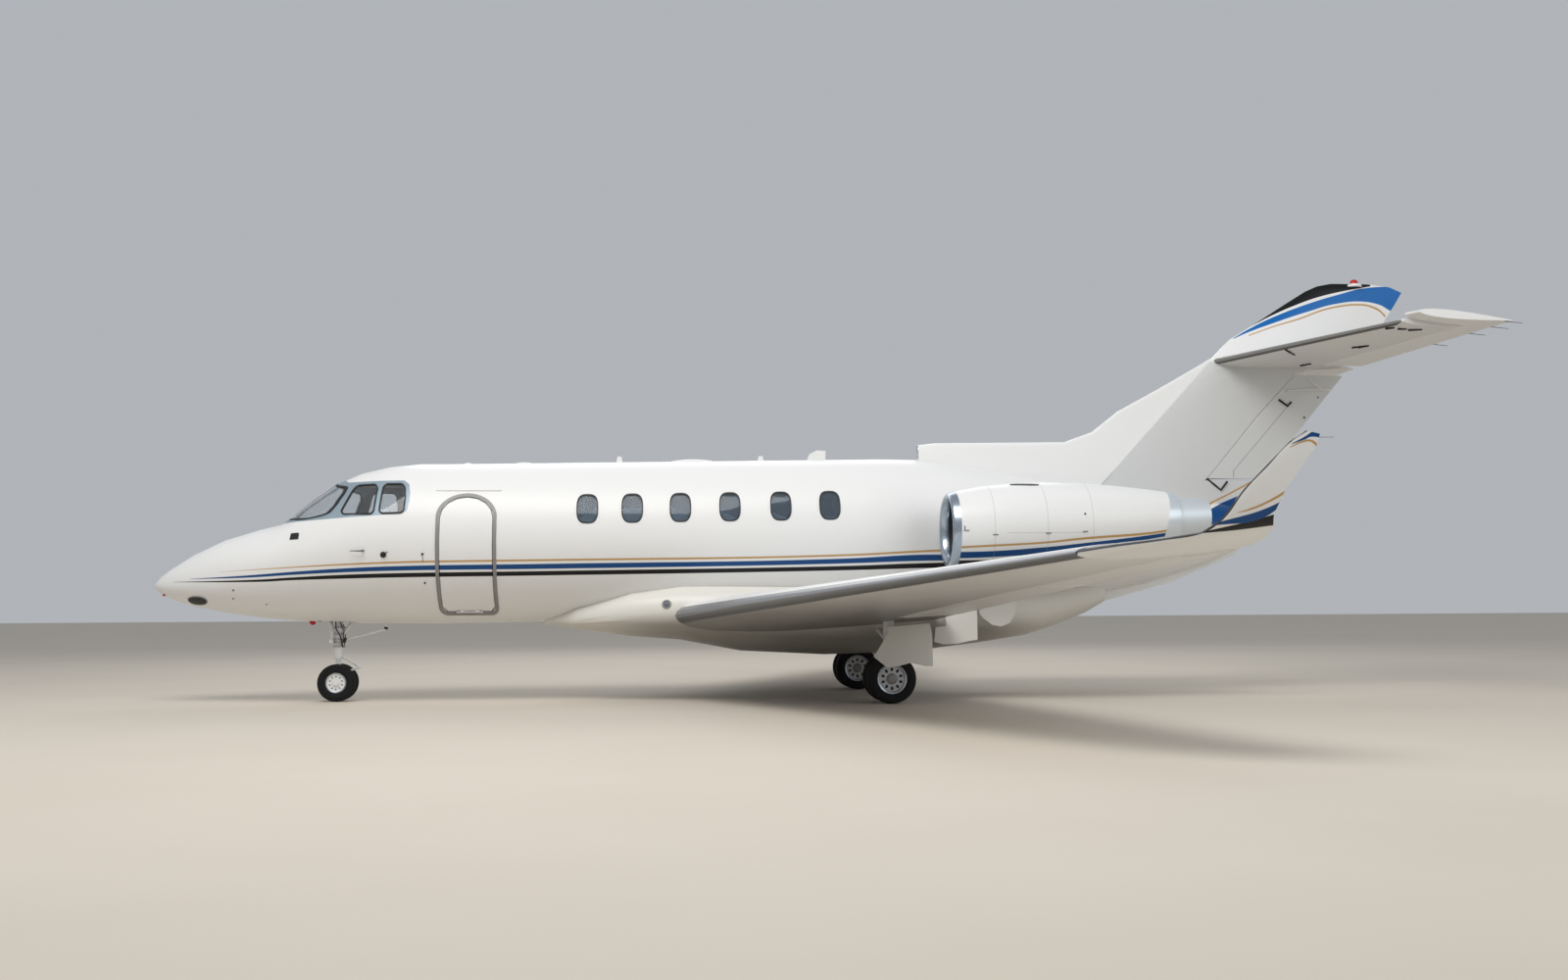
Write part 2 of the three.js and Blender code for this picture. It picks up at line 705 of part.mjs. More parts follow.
// Nacelles
// Columns: station, outer radius, height of the centre
const COWL_TABLE = [
  [9350, 447, 1966],
  [9650, 500, 1970],
  [10000, 524, 1980],
  [10400, 528, 1993],
  [10900, 500, 2010],
  [11400, 432, 2035],
  [11750, 365, 2062],
  [11940, 318, 2080],
];
const COWL_SIDES = 24;
const DUCT_TABLE = [
  [9330, 340, 1966],
  [9440, 336, 1967],
  [9700, 350, 1972],
  [9900, 366, 1977],
  [10190, 366, 1985],
];
const REAR_DUCT_TABLE = [
  [10190, 366, 1985],
  [11300, 366, 2030],
  [11700, 318, 2058],
  [11960, 270, 2081],
];
const NOZZLE_TABLE = [
  [11950, 264, 2081],
  [12050, 252, 2090],
  [12340, 212, 2110],
];
const NOZZLE_WALL = 14;

function roundRing([station, radius, z], grow, sides = COWL_SIDES) {
  return Array.from({ length: sides }, (_, i) => {
    const t = (i / sides) * 2 * Math.PI;
    return at(station, ENGINE_Y + (radius + grow) * Math.cos(t), z + (radius + grow) * Math.sin(t));
  });
}

function roundLoft(table, grow = 0, sides = COWL_SIDES) {
  return loft(table.map((row) => roundRing(row, grow, sides)));
}

const fullCowl = roundLoft(COWL_TABLE);
const duct = roundLoft(DUCT_TABLE);
const rearDuct = roundLoft(REAR_DUCT_TABLE);
addBothSides('cowl', fullCowl.subtract(duct).subtract(rearDuct), PAINT);
const cowlCutter = roundLoft(COWL_TABLE, GAP);

// Polished intake lip: a ring with a round front edge
const LIP_PROFILE = [
  [0, 339], [-40, 345], [-70, 359], [-89, 380], [-93, 398], [-83, 416], [-50, 433], [0, 446],
];
const lipPlace = at(COWL_TABLE[0][0] - GAP, ENGINE_Y, COWL_TABLE[0][2]);
const lipRing = LIP_PROFILE.concat([LIP_PROFILE[0]]).map(([along, radius]) => [-along, radius]);
addBothSides('intake_lip', turned(lipRing.reverse(), lipPlace, [1, 0, 0], COWL_SIDES, Math.PI / 2), POLISHED);

// Fan: a hub with a spinner and flat slanted blades that widen outward
const FAN_STATION = 9840;
const FAN_RADIUS = 342;
const FAN_HUB = 112;
const FAN_BLADES = 12;
const BLADE_ROOT = 88;
const BLADE_WIDTH = [52, 104];
const BLADE_THICK = 8;
const BLADE_ANGLE = 50;
const fanCentre = at(FAN_STATION, ENGINE_Y, 1976);

function fanSolid() {
  const spinner = [[-60, 0], [-60, FAN_HUB], [60, FAN_HUB], [130, 74], [205, 0]];
  const hub = turned(spinner, [0, 0, 0], [1, 0, 0], 24);
  const [root, tip] = BLADE_WIDTH.map((width) => width / 2);
  const outline = [[-root, BLADE_ROOT], [root, BLADE_ROOT], [tip, FAN_RADIUS], [-tip, FAN_RADIUS]];
  const blade = loft([-BLADE_THICK / 2, BLADE_THICK / 2].map((y) => outline.map(([x, z]) => [x, y, z])))
    .rotate([0, 0, BLADE_ANGLE]);
  const blades = Array.from({ length: FAN_BLADES }, (_, i) => blade.rotate([(i / FAN_BLADES) * 360, 0, 0]));
  return blades.reduce((a, b) => a.add(b), hub);
}

addBothSides('fan', fanSolid().translate(fanCentre), METAL);

// The engine is one block inside the cowl, with its exhaust pipe
const ENGINE_TABLE = [
  [9930, 350, 1978],
  [10190, 366, 1985],
  [11300, 366, 2030],
  [11560, 332, 2048],
];
const pipeOuter = roundLoft(NOZZLE_TABLE);
const PIPE_TABLE = [[11700, 262, 2070], ...NOZZLE_TABLE, [12360, 209, 2111]];
const pipeInner = roundLoft(PIPE_TABLE, -NOZZLE_WALL);
const pipeFront = roundLoft([[11540, 300, 2047], [11950, 264, 2081]]);
const CONE_TABLE = [[11500, 190, 2045], [11800, 150, 2066], [12100, 60, 2092], [12160, 20, 2096]];
const exhaustCone = roundLoft(CONE_TABLE, 0, 16);
const shaft = bar(at(9940, ENGINE_Y, fanCentre[2]), at(FAN_STATION + 60 + GAP, ENGINE_Y, fanCentre[2]), 70);
const engine = roundLoft(ENGINE_TABLE, -GAP)
  .add(shaft)
  .add(pipeFront.add(pipeOuter).subtract(pipeInner)).add(exhaustCone);
addBothSides('engine', engine, METAL);

// Pylon between the body and the cowl
const PYLON_OUTLINE = [
  [9980, 1985], [10150, 2070], [10700, 2095], [11300, 2080],
  [11650, 2050], [11300, 1990], [10700, 1915], [10150, 1905],
];
const pylon = sidePrism(PYLON_OUTLINE, 300, 1250).subtract(cowlCutter);
addBothSides('pylon', pylon, PAINT, [bodyCutter]);

// Fin and its long dorsal root, split along the line of the fin's front spar
const SPAR_FOOT = new THREE.Vector3(...at(11400, 0, 2500));
const SPAR_HEAD = new THREE.Vector3(...at(13000, 0, 4200));
const sparLine = SPAR_HEAD.clone().sub(SPAR_FOOT);
const spar = new THREE.Vector3(-sparLine.z, 0, sparLine.x).normalize();
const sparAt = spar.dot(SPAR_FOOT);

// Columns: height, leading station, trailing station, half thickness
const FIN_TABLE = [
  [2150, 10600, 13300, 150],
  [2820, 11100, 13760, 150],
  [3500, 11600, 14250, 140],
  [4155, 12880, 14890, 110],
  [4480, 13270, 15170, 92],
  [4680, 13600, 15310, 78],
  [4960, 14040, 15500, 58],
  [5120, 14300, 15600, 42],
  [5190, 14460, 15440, 26],
  [5225, 14640, 15140, 10],
];

function finRing([z, lead, trail, half]) {
  const chord = trail - lead;
  const xs = [0.015, 0.06, 0.18, 0.35, 0.55, 0.75, 0.9, 1];
  const peak = thicknessAt(0.3);
  const side = (x, way) => at(lead + x * chord, way * Math.max((half * thicknessAt(x)) / peak, 4), z);
  return [at(lead, 0, z), ...xs.map((x) => side(x, 1)), ...xs.map((x) => side(x, -1)).reverse()];
}

const wholeFin = loft(FIN_TABLE.map(finRing));

// Columns: station, height of the top, half width at the base, half width near the top
const DORSAL_TABLE = [
  [9190, 3100, 105, 72],
  [9420, 3125, 118, 78],
  [10300, 3135, 135, 72],
  [11070, 3145, 150, 66],
  [11430, 3275, 155, 56],
  [11770, 3540, 155, 48],
  [12290, 3820, 150, 42],
  [12880, 4155, 140, 36],
  [13000, 4230, 138, 34],
];

function dorsalRing([station, top, base, crown]) {
  const low = 2300;
  const shoulder = top - crown * 0.8;
  return [
    at(station, -base, low), at(station, -base * 0.96, Math.min(2750, shoulder - 200)),
    at(station, -crown, shoulder), at(station, -crown * 0.6, top - crown * 0.2), at(station, 0, top),
    at(station, crown * 0.6, top - crown * 0.2), at(station, crown, shoulder),
    at(station, base * 0.96, Math.min(2750, shoulder - 200)), at(station, base, low),
  ];
}

const RAM_INLET_Z = 3010;
const ramOutline = ovalOutline(0, RAM_INLET_Z, 50, 70, 2.5, 12);
const ramHole = loft([9150, 9480].map((s) => ramOutline.map(([y, z]) => at(s, y, z))));
const dorsal = loft(DORSAL_TABLE.map(dorsalRing))
  .trimByPlane(spar.clone().negate().toArray(), -sparAt + GAP)
  .subtract(bodyCutter)
  .subtract(ramHole);
add('dorsal_fin', dorsal, PAINT);

// Rudder hinge line: [station, height] of its lower and upper ends
const RUDDER_HINGE = [[12886, 2660], [14110, 4020]];
const RUDDER_NOSE = [82, 66];
// A point of its trailing edge, [station, height], and how far the edge rakes aft for each mm of height
const RUDDER_TRAIL = [13470, 2500];
const RUDDER_RAKE = 0.85;
const RUDDER_LOW = 2684;
const RUDDER_FOOT_ROOM = 32;
const RUDDER_HIGH = 4020;
const rudderLow = new THREE.Vector3(...at(RUDDER_HINGE[0][0], 0, RUDDER_HINGE[0][1]));
const rudderHigh = new THREE.Vector3(...at(RUDDER_HINGE[1][0], 0, RUDDER_HINGE[1][1]));
const rudderAxis = rudderHigh.clone().sub(rudderLow).normalize();

// A slice square to the hinge: a round nose, flat sides and a thin edge
function rudderRing(t, noseGrow, chordGrow) {
  const centre = rudderLow.clone().lerp(rudderHigh, t);
  const radius = mix(RUDDER_NOSE, t) + noseGrow;
  const aft = new THREE.Vector3(0, 1, 0).cross(rudderAxis);
  if (aft.x > 0) {
    aft.negate();
  }
  const height = centre.z;
  const trailStation = RUDDER_TRAIL[0] + (height - RUDDER_TRAIL[1]) * RUDDER_RAKE;
  const reach = (trailStation - (NOSE_X - centre.x)) / (-aft.x - RUDDER_RAKE * aft.z) + chordGrow;
  const placed = (back, side) => {
    const point = centre.clone().addScaledVector(aft, back);
    return [point.x, side, point.z];
  };
  const nose = [0, 1, 2, 3, 4, 5, 6].map((i) => {
    const a = Math.PI / 2 + (i / 6) * Math.PI;
    return placed(radius * Math.cos(a), radius * Math.sin(a));
  });
  return [...nose, placed(reach, -5), placed(reach, 5)];
}

const rudder = loft([-0.02, 1.4].map((t) => rudderRing(t, 0, 0)))
  .trimByPlane([0, 0, 1], RUDDER_LOW)
  .trimByPlane([0, 0, -1], -RUDDER_HIGH);
const RUDDER_PIN_SIDES = 16;
const rudderPinFoot = rudderLow.clone().addScaledVector(rudderAxis, -45).toArray();
const rudderPin = bar(rudderPinFoot, rudderHigh.toArray(), PIN_R, PIN_R, RUDDER_PIN_SIDES);
const rudderBore = bar(
  rudderLow.clone().addScaledVector(rudderAxis, -52).toArray(),
  rudderHigh.toArray(),
  PIN_R + 0.8,
  PIN_R + 0.8,
  RUDDER_PIN_SIDES,
);
add('rudder', rudder.add(rudderPin), PAINT);
const rudderRoom = loft([-0.2, 1.6].map((t) => rudderRing(t, MOVE_GAP + 3, 900)))
  .trimByPlane([0, 0, 1], RUDDER_LOW - RUDDER_FOOT_ROOM);

// Tailplane: one piece from tip to tip, cut back for the two elevators
const TAIL_SHARE = [0.095, 0.09];
const TAIL_LEAD = [13000, 14150];
const TAIL_TRAIL = [14975, 15200];
const ELEVATOR_Y = [170, 2740];
const ELEVATOR_X = 0.68;
const ELEVATOR_DROOP = 5;

function tailSection(y) {
  const t = Math.abs(y) / TAILPLANE_HALF;
  const lead = mix(TAIL_LEAD, t);
  return { y, lead, chord: mix(TAIL_TRAIL, t) - lead, share: mix(TAIL_SHARE, t) };
}

function tailPoint(section, x, side) {
  const half = Math.max(section.share * thicknessAt(x) * section.chord, x > 0 ? 3 : 0);
  return at(section.lead + section.chord * x, section.y, TAILPLANE_Z + side * half);
}

function tailRing(y, xs, grow = 0) {
  const section = tailSection(y);
  const lift = (p, side) => [p[0], p[1], p[2] + side * grow];
  return [
    ...xs.map((x) => lift(tailPoint(section, x, 1), 1)),
    ...xs.map((x) => lift(tailPoint(section, x, -1), -1)).reverse(),
  ];
}

function tailHinge(y) {
  const section = tailSection(y);
  const half = section.share * thicknessAt(ELEVATOR_X) * section.chord;
  const station = section.lead + section.chord * ELEVATOR_X + half + HINGE_SET_BACK;
  return new THREE.Vector3(...at(station, y, TAILPLANE_Z));
}

const elevatorInner = tailHinge(ELEVATOR_Y[0]);
const elevatorOuter = tailHinge(TAILPLANE_HALF - 10);
const elevatorAxis = elevatorOuter.clone().sub(elevatorInner).normalize();

function alongElevator(y) {
  const t = (y - elevatorInner.y) / (elevatorOuter.y - elevatorInner.y);
  return elevatorInner.clone().lerp(elevatorOuter, t).dot(elevatorAxis);
}

const TAIL_FRONT_X = [0.004, 0.02, 0.06, 0.16, 0.32, 0.5, ELEVATOR_X];
const TAIL_ALL_X = [...TAIL_FRONT_X, 0.84, 1];

function elevatorRing(y) {
  const section = tailSection(y);
  const hinge = tailHinge(y);
  const x0 = (NOSE_X - hinge.x - section.lead) / section.chord;
  const radius = tailPoint(section, x0, 1)[2] - TAILPLANE_Z;
  const nose = [1, 2, 3, 4, 5].map((i) => {
    const a = Math.PI / 2 + (i / 6) * Math.PI;
    return [hinge.x - radius * Math.cos(a), y, TAILPLANE_Z + radius * Math.sin(a)];
  });
  const xs = [x0, 0.88, 1];
  return [
    ...xs.map((x) => tailPoint(section, x, 1)).reverse(),
    ...nose,
    ...xs.map((x) => tailPoint(section, x, -1)),
  ];
}

const tailSpan = [0, 0.33, 0.66, 1].map((t) => t * TAILPLANE_HALF);
const mirrored = (ys) => [...ys.slice(1).reverse().map((y) => -y), ...ys];
const hornPlane = alongElevator(ELEVATOR_Y[1]);
const axisArray = elevatorAxis.toArray();
const axisBack = elevatorAxis.clone().negate().toArray();
const flipY = ([x, y, z]) => [x, -y, z];
const tailFront = loft(mirrored(tailSpan).map((y) => tailRing(y, TAIL_FRONT_X)))
  .trimByPlane(axisBack, -hornPlane + MOVE_GAP)
  .trimByPlane(flipY(axisBack), -hornPlane + MOVE_GAP);
const tailMiddle = loft([-700, 0, 700].map((y) => tailRing(y, TAIL_ALL_X)))
  .trimByPlane(axisBack, -alongElevator(ELEVATOR_Y[0]) + MOVE_GAP)
  .trimByPlane(flipY(axisBack), -alongElevator(ELEVATOR_Y[0]) + MOVE_GAP);
const elevatorPin = pinAt(elevatorInner, elevatorAxis, -40, -GAP);
// It is a skin around its empty box, which is open where it sits on the fin
const TAIL_SKIN = 14;
const TAIL_BOX_X = [0.08, 0.16, 0.32, 0.5, 0.61];
const tailBox = loft(mirrored([0, 0.33, 0.66, 0.88].map((t) => t * TAILPLANE_HALF))
  .map((y) => tailRing(y, TAIL_BOX_X, -TAIL_SKIN)));
const tailOpening = block([13450, 13850], [-55, 55], [TAILPLANE_Z - 250, TAILPLANE_Z]);
const tailplane = tailFront.add(tailMiddle)
  .add(elevatorPin)
  .add(elevatorPin.mirror([0, 1, 0]))
  .subtract(tailBox)
  .subtract(tailOpening);
add('tailplane', tailplane, PAINT);

const elevatorBlade = loft([100, TAILPLANE_HALF].map(elevatorRing))
  .trimByPlane(axisArray, alongElevator(ELEVATOR_Y[0]));
const horn = loft([2000, TAILPLANE_HALF].map((y) => tailRing(y, TAIL_ALL_X)))
  .trimByPlane(axisArray, hornPlane);
const elevatorFlat = elevatorBlade.add(horn);

// Turns a solid about a line by an angle in degrees
function turnAbout(solid, point, axis, angle) {
  const turn = new THREE.Matrix4().makeRotationAxis(axis, angle * DEG);
  const shift = new THREE.Matrix4().makeTranslation(...point.toArray());
  const back = new THREE.Matrix4().makeTranslation(...point.clone().negate().toArray());
  return solid.transform(shift.multiply(turn).multiply(back).elements);
}

const elevator = turnAbout(elevatorFlat, elevatorInner, elevatorAxis, -ELEVATOR_DROOP);
addBothSides('elevator', elevator, PAINT);

const tailCutter = loft(mirrored([0, 700]).map((y) => tailRing(y, TAIL_ALL_X, GAP)));
const finTrimmed = wholeFin
  .trimByPlane(spar.toArray(), sparAt)
  .subtract(tailCutter)
  .subtract(bodyCutter);
// The fin is a skin too, between its spar and the rudder's, and open at its foot
const FIN_SKIN = 30;
const FIN_BOX_Z = [2150, 2820, 3500, 3900];
const finBoxRows = FIN_BOX_Z.map((z) => rowAt(FIN_TABLE, z)).map(([z, lead, trail, half]) => [
  z, lead, trail, half - FIN_SKIN,
]);
const aheadOfRudder = new THREE.Vector3(rudderAxis.z, 0, -rudderAxis.x);
const finBoxRear = aheadOfRudder.dot(rudderLow) + RUDDER_NOSE[0] + MOVE_GAP + FIN_SKIN;
const finBox = loft(finBoxRows.map(finRing))
  .trimByPlane(spar.toArray(), sparAt + FIN_SKIN)
  .trimByPlane(aheadOfRudder.toArray(), finBoxRear);
const finLower = finTrimmed.trimByPlane([0, 0, -1], -TAILPLANE_Z)
  .subtract(rudderRoom)
  .subtract(rudderBore)
  .subtract(finBox);
const finUpper = finTrimmed.trimByPlane([0, 0, 1], TAILPLANE_Z + GAP);
add('fin', finLower, PAINT);
add('fin_cap', finUpper, PAINT);

// Rear body, with the small keel fin below it and room for the rudder's foot
const KEEL = [[10900, 1200], [11300, 1075], [12400, 1370], [13250, 1715], [13300, 1800], [12400, 1600]];
const keel = sidePrism(KEEL, -16, 16);
add('aft_body', aftBody.subtract(rudderRoom).add(keel.subtract(bellyCutter)).subtract(bellyCutter), PAINT);

// Wheels
const WHEEL_SIDES = 24;
// Tyre section: share of the half width, share of the height above the rim
const TYRE_SECTION = [
  [-0.8, 0], [-1, 0.35], [-0.9, 0.75], [-0.55, 0.97], [-0.25, 1],
  [0.25, 1], [0.55, 0.97], [0.9, 0.75], [1, 0.35], [0.8, 0],
];

// Its flats touch the ground, so its corners lie a little outside its radius
function tyre(centre, radius, rim, width) {
  const corner = radius / Math.cos(Math.PI / WHEEL_SIDES);
  const profile = TYRE_SECTION.map(([across, up]) => [(across * width) / 2, rim + up * (corner - rim)]);
  return turned([...profile, profile[0]], centre, [0, 1, 0], WHEEL_SIDES, Math.PI / WHEEL_SIDES);
}

function wheelDisc(centre, rim, width, outward) {
  const half = 0.42 * width;
  const profile = [
    [-half, 0], [-half, rim - GAP], [half, rim - GAP], [half, rim * 0.86], [half * 0.45, rim * 0.78],
    [half * 0.45, rim * 0.4], [half * 0.9, rim * 0.32], [half * 0.9, 0],
  ];
  const side = outward > 0 ? profile : profile.map(([along, radius]) => [-along, radius]).reverse();
  return turned(side, centre, [0, 1, 0], WHEEL_SIDES, Math.PI / WHEEL_SIDES);
}

// Twin wheels: two discs on one axle that turns in a bore of the leg
const BORE_PLAY = 0.9;

function twinHub(station, y, radius, rim, width, spread, axle) {
  const [inner, outer] = [-1, 1].map((side) => {
    const centre = at(station, y + side * spread, radius);
    return wheelDisc(centre, rim, width, side);
  });
  const pin = bar(at(station, y - spread, radius), at(station, y + spread, radius), axle, axle, 16);
  return inner.add(outer).add(pin);
}

function bearing(station, y, z, axle, outer, half) {
  return [
    bar(at(station, y - half, z), at(station, y + half, z), outer, outer, 16),
    bar(at(station, y - half - 5, z), at(station, y + half + 5, z), axle + BORE_PLAY, axle + BORE_PLAY, 16),
  ];
}

// Nose gear
const NOSE_RIM = 122;
const NOSE_TYRE_W = 108;
const NOSE_SPREAD = 92;
const NOSE_AXLE = 20;
const NOSE_SPLIT_Z = 640;
for (const [side, label] of [[1, 'left'], [-1, 'right']]) {
  const centre = at(NOSE_GEAR, side * NOSE_SPREAD, TYRE_NOSE_R);
  add(`nose_tyre_${label}`, tyre(centre, TYRE_NOSE_R, NOSE_RIM, NOSE_TYRE_W), RUBBER);
}
const noseHub = twinHub(NOSE_GEAR, 0, TYRE_NOSE_R, NOSE_RIM, NOSE_TYRE_W, NOSE_SPREAD, NOSE_AXLE);
add('nose_hub', noseHub, PAINT);

const noseLeg = [
  bar(at(NOSE_GEAR, 0, NOSE_SPLIT_Z + GAP), at(NOSE_GEAR, 0, NOSE_BAY_TOP - GAP), 48, 44, 12),
  bar(at(NOSE_GEAR, 0, NOSE_SPLIT_Z + GAP), at(NOSE_GEAR, 0, NOSE_SPLIT_Z + 90), 58, 58, 12),
  bar(at(2120, 0, 800), at(2040, 0, 960), 14),
  bar(at(2310, 0, 960), at(2160, 0, 740), 20),
  bar(at(2220, 30, 730), at(2700, 30, 850), 12),
  bar(at(2150, 0, 730), at(2240, 0, 730), 30),
  bar(at(2700, 30, 842), at(2700, 30, 940), 12),
].reduce((a, b) => a.add(b));
add('nose_leg', noseLeg.subtract(bodyCutter.subtract(noseBayRoom)), PAINT);

const [noseBearing, noseBore] = bearing(NOSE_GEAR, 0, TYRE_NOSE_R, NOSE_AXLE, 36, 36);
const noseFork = [
  bar(at(NOSE_GEAR, 0, TYRE_NOSE_R), at(NOSE_GEAR, 0, NOSE_SPLIT_Z), 32, 32, 12),
  bar(at(NOSE_GEAR, 0, 500), at(NOSE_GEAR, 0, NOSE_SPLIT_Z), 46, 52, 12),
  bar(at(NOSE_GEAR, 0, 560), at(2400, 0, 400), 13),
  bar(at(2400, 0, 400), at(NOSE_GEAR, 0, 320), 13),
  bar(at(2400, -24, 400), at(2400, 24, 400), 18),
  noseBearing,
].reduce((a, b) => a.add(b)).subtract(noseBore);
add('nose_fork', noseFork, PAINT);

// Main gear
const MAIN_RIM = 172;
const MAIN_TYRE_W = 178;
const MAIN_SPREAD = 155;
const MAIN_AXLE = 32;
const LEG_DOOR_Y = 1660;
const LEG_DOOR_THICK = 12;
const mainHub = twinHub(
  MAIN_GEAR,
  MAIN_TRACK_HALF,
  TYRE_MAIN_R,
  MAIN_RIM,
  MAIN_TYRE_W,
  MAIN_SPREAD,
  MAIN_AXLE,
);
for (const [spread, label] of [[MAIN_SPREAD, 'outer'], [-MAIN_SPREAD, 'inner']]) {
  const centre = at(MAIN_GEAR, MAIN_TRACK_HALF + spread, TYRE_MAIN_R);
  addBothSides(`main_tyre_${label}`, tyre(centre, TYRE_MAIN_R, MAIN_RIM, MAIN_TYRE_W), RUBBER);
}
addBothSides('main_hub', mainHub, METAL);

const [mainBearing, mainBore] = bearing(MAIN_GEAR, MAIN_TRACK_HALF, TYRE_MAIN_R, MAIN_AXLE, 56, 58);
const doorFace = LEG_DOOR_Y - LEG_DOOR_THICK / 2 - GAP;
const mainLeg = [
  bar(at(MAIN_GEAR, MAIN_TRACK_HALF, TYRE_MAIN_R), at(MAIN_GEAR, MAIN_TRACK_HALF, 640), 44, 44, 12),
  bar(at(MAIN_GEAR, MAIN_TRACK_HALF, 600), at(MAIN_GEAR, MAIN_TRACK_HALF, 980), 62, 66, 12),
  bar(at(MAIN_GEAR, MAIN_TRACK_HALF, 690), at(MAIN_GEAR - 60, 900, 840), 30),
  bar(at(MAIN_GEAR, MAIN_TRACK_HALF, 620), at(MAIN_GEAR + 130, MAIN_TRACK_HALF, 480), 16),
  bar(at(MAIN_GEAR + 130, MAIN_TRACK_HALF, 480), at(MAIN_GEAR, MAIN_TRACK_HALF, 340), 16),
  bar(at(MAIN_GEAR, MAIN_TRACK_HALF, 760), at(MAIN_GEAR + 60, doorFace, 760), 16),
  bar(at(MAIN_GEAR, MAIN_TRACK_HALF, 650), at(MAIN_GEAR + 60, doorFace, 650), 12),
  mainBearing,
].reduce((a, b) => a.add(b)).subtract(mainBore)
  .subtract(block([8000, 9500], [doorFace, 1800], [300, 900]));

const legDoorOutline = [
  [8530, 800], [8500, 860], [9000, 900], [9025, 780], [9030, 420], [8940, 420],
  [8860, 440], [8780, 460], [8640, 425], [8510, 408], [8360, 530],
];
const legDoor = sidePrism(legDoorOutline, LEG_DOOR_Y - LEG_DOOR_THICK / 2, LEG_DOOR_Y + LEG_DOOR_THICK / 2);
const underWing = wing.translate([0, 0, -GAP]);
addBothSides('leg_door', legDoor, BELLY_PAINT, [underWing, underWing.mirror([0, 1, 0])]);

// Doors of the wheel bays hang beside the root of the wing on brackets from the belly
const FRONT_BAY_DOOR = [
  [9270, 1160], [9420, 1150], [9560, 1170], [9640, 1160], [9640, 700], [9560, 690],
  [9400, 655], [9240, 650], [9130, 680], [9150, 850], [9270, 860],
];
const REAR_BAY_DOOR = [
  [9700, 1290], [10020, 1290], [10100, 1230], [10140, 1120], [10130, 1000],
  [10060, 890], [9960, 850], [9850, 870], [9740, 950], [9700, 1000],
];

function bayDoor(outline, y, bracket) {
  return sidePrism(outline, y - 8, y + 8).add(bar(at(bracket, 600, 1100), at(bracket, y, 1100), 22));
}

addBothSides('bay_door_front', bayDoor(FRONT_BAY_DOOR, 1230, 9450), BELLY_PAINT, [bellyCutter, bodyCutter]);
addBothSides('bay_door_rear', bayDoor(REAR_BAY_DOOR, 1080, 9900), BELLY_PAINT, [bellyCutter, bodyCutter]);
addBothSides('main_leg', mainLeg, PAINT, [bellyCutter, underWing, underWing.mirror([0, 1, 0])]);

// Cabin and cockpit fittings
const FLOOR_Z = 1325;
const inside = bodyLoft(1560, 8940, -WALL - 0.7);
const floor = block([1730, 8700], [-800, 800], [FLOOR_Z - FLOOR_DEPTH, FLOOR_Z])
  .subtract(block([DOOR_FRONT - 30, DOOR_REAR + 30], [375, 900], [1200, 1400]));
add('cabin_floor', floor.intersect(inside), METAL);

function seat(station, y, facing) {
  const shift = (from, to) => [station + facing * from, station + facing * to].sort((a, b) => a - b);
  return [
    block(shift(-250, 250), [y - 240, y + 240], [FLOOR_Z + 250, FLOOR_Z + 420]),
    block(shift(160, 300), [y - 230, y + 230], [FLOOR_Z + 300, FLOOR_Z + 1000]),
    block(shift(-150, 150), [y - 160, y + 160], [FLOOR_Z + GAP, FLOOR_Z + 300]),
  ].reduce((a, b) => a.add(b));
}

function seats(places, rails) {
  return places.map((place) => seat(...place)).concat(rails).reduce((a, b) => a.add(b));
}

function rail(stations, y) {
  return block(stations, [y - 30, y + 30], [FLOOR_Z + GAP, FLOOR_Z + 30]);
}

const CABIN_SEATS = [
  [4500, 1, -1], [4500, -1, -1], [5900, 1, 1], [5900, -1, 1],
  [6900, 1, 1], [6900, -1, 1], [7900, 1, 1], [7900, -1, 1],
].map(([station, side, facing]) => [station, side * 430, facing]);
const cross = block([5250, 5310], [-430, 430], [FLOOR_Z + GAP, FLOOR_Z + 12]);
add('cabin_seats', seats(CABIN_SEATS, [rail([4400, 8000], 430), rail([4400, 8000], -430), cross]), LEATHER);
const pilotCross = block([2870, 2930], [-340, 340], [FLOOR_Z + GAP, FLOOR_Z + 30]);
add('pilot_seats', seats([[2850, 340, 1], [2850, -340, 1]], [pilotCross]), LEATHER);
const panel = block([2080, 2150], [-700, 700], [FLOOR_Z + GAP, 2050]).intersect(inside);
add('instrument_panel', panel, TRIM);

// Blade aerial on the roof
const AERIAL = [[7770, 2850], [7830, 2985], [7925, 3030], [8030, 3022], [8025, 2850]];
add('aerial', sidePrism(AERIAL, -9, 9).subtract(bodyCutter), PAINT);

export default jet;
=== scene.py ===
"""Business jet: looks, small fittings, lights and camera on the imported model.

All positions are in metres: +X to the nose, +Y to port, +Z up, ground at z = 0.
Stations are distances aft of the nose tip.
"""

import math

import bmesh
import bpy
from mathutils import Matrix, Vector
from mathutils.bvhtree import BVHTree
from mathutils.kdtree import KDTree


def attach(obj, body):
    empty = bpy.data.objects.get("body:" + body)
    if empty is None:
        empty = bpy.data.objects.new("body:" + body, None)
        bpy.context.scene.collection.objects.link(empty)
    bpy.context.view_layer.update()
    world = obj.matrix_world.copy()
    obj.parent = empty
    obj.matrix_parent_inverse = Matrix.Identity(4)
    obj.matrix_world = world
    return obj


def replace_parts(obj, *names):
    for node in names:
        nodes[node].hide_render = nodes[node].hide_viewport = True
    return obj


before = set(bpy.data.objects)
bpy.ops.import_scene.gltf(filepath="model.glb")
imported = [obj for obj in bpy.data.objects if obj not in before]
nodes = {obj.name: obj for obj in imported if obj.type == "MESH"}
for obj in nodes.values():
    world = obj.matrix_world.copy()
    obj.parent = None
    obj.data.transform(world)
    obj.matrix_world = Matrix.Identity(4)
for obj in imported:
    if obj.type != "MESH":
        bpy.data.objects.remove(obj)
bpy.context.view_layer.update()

# Driving dimensions
LENGTH = 15.6
NOSE_X = LENGTH / 2
FLOOR_HALF = 90.0

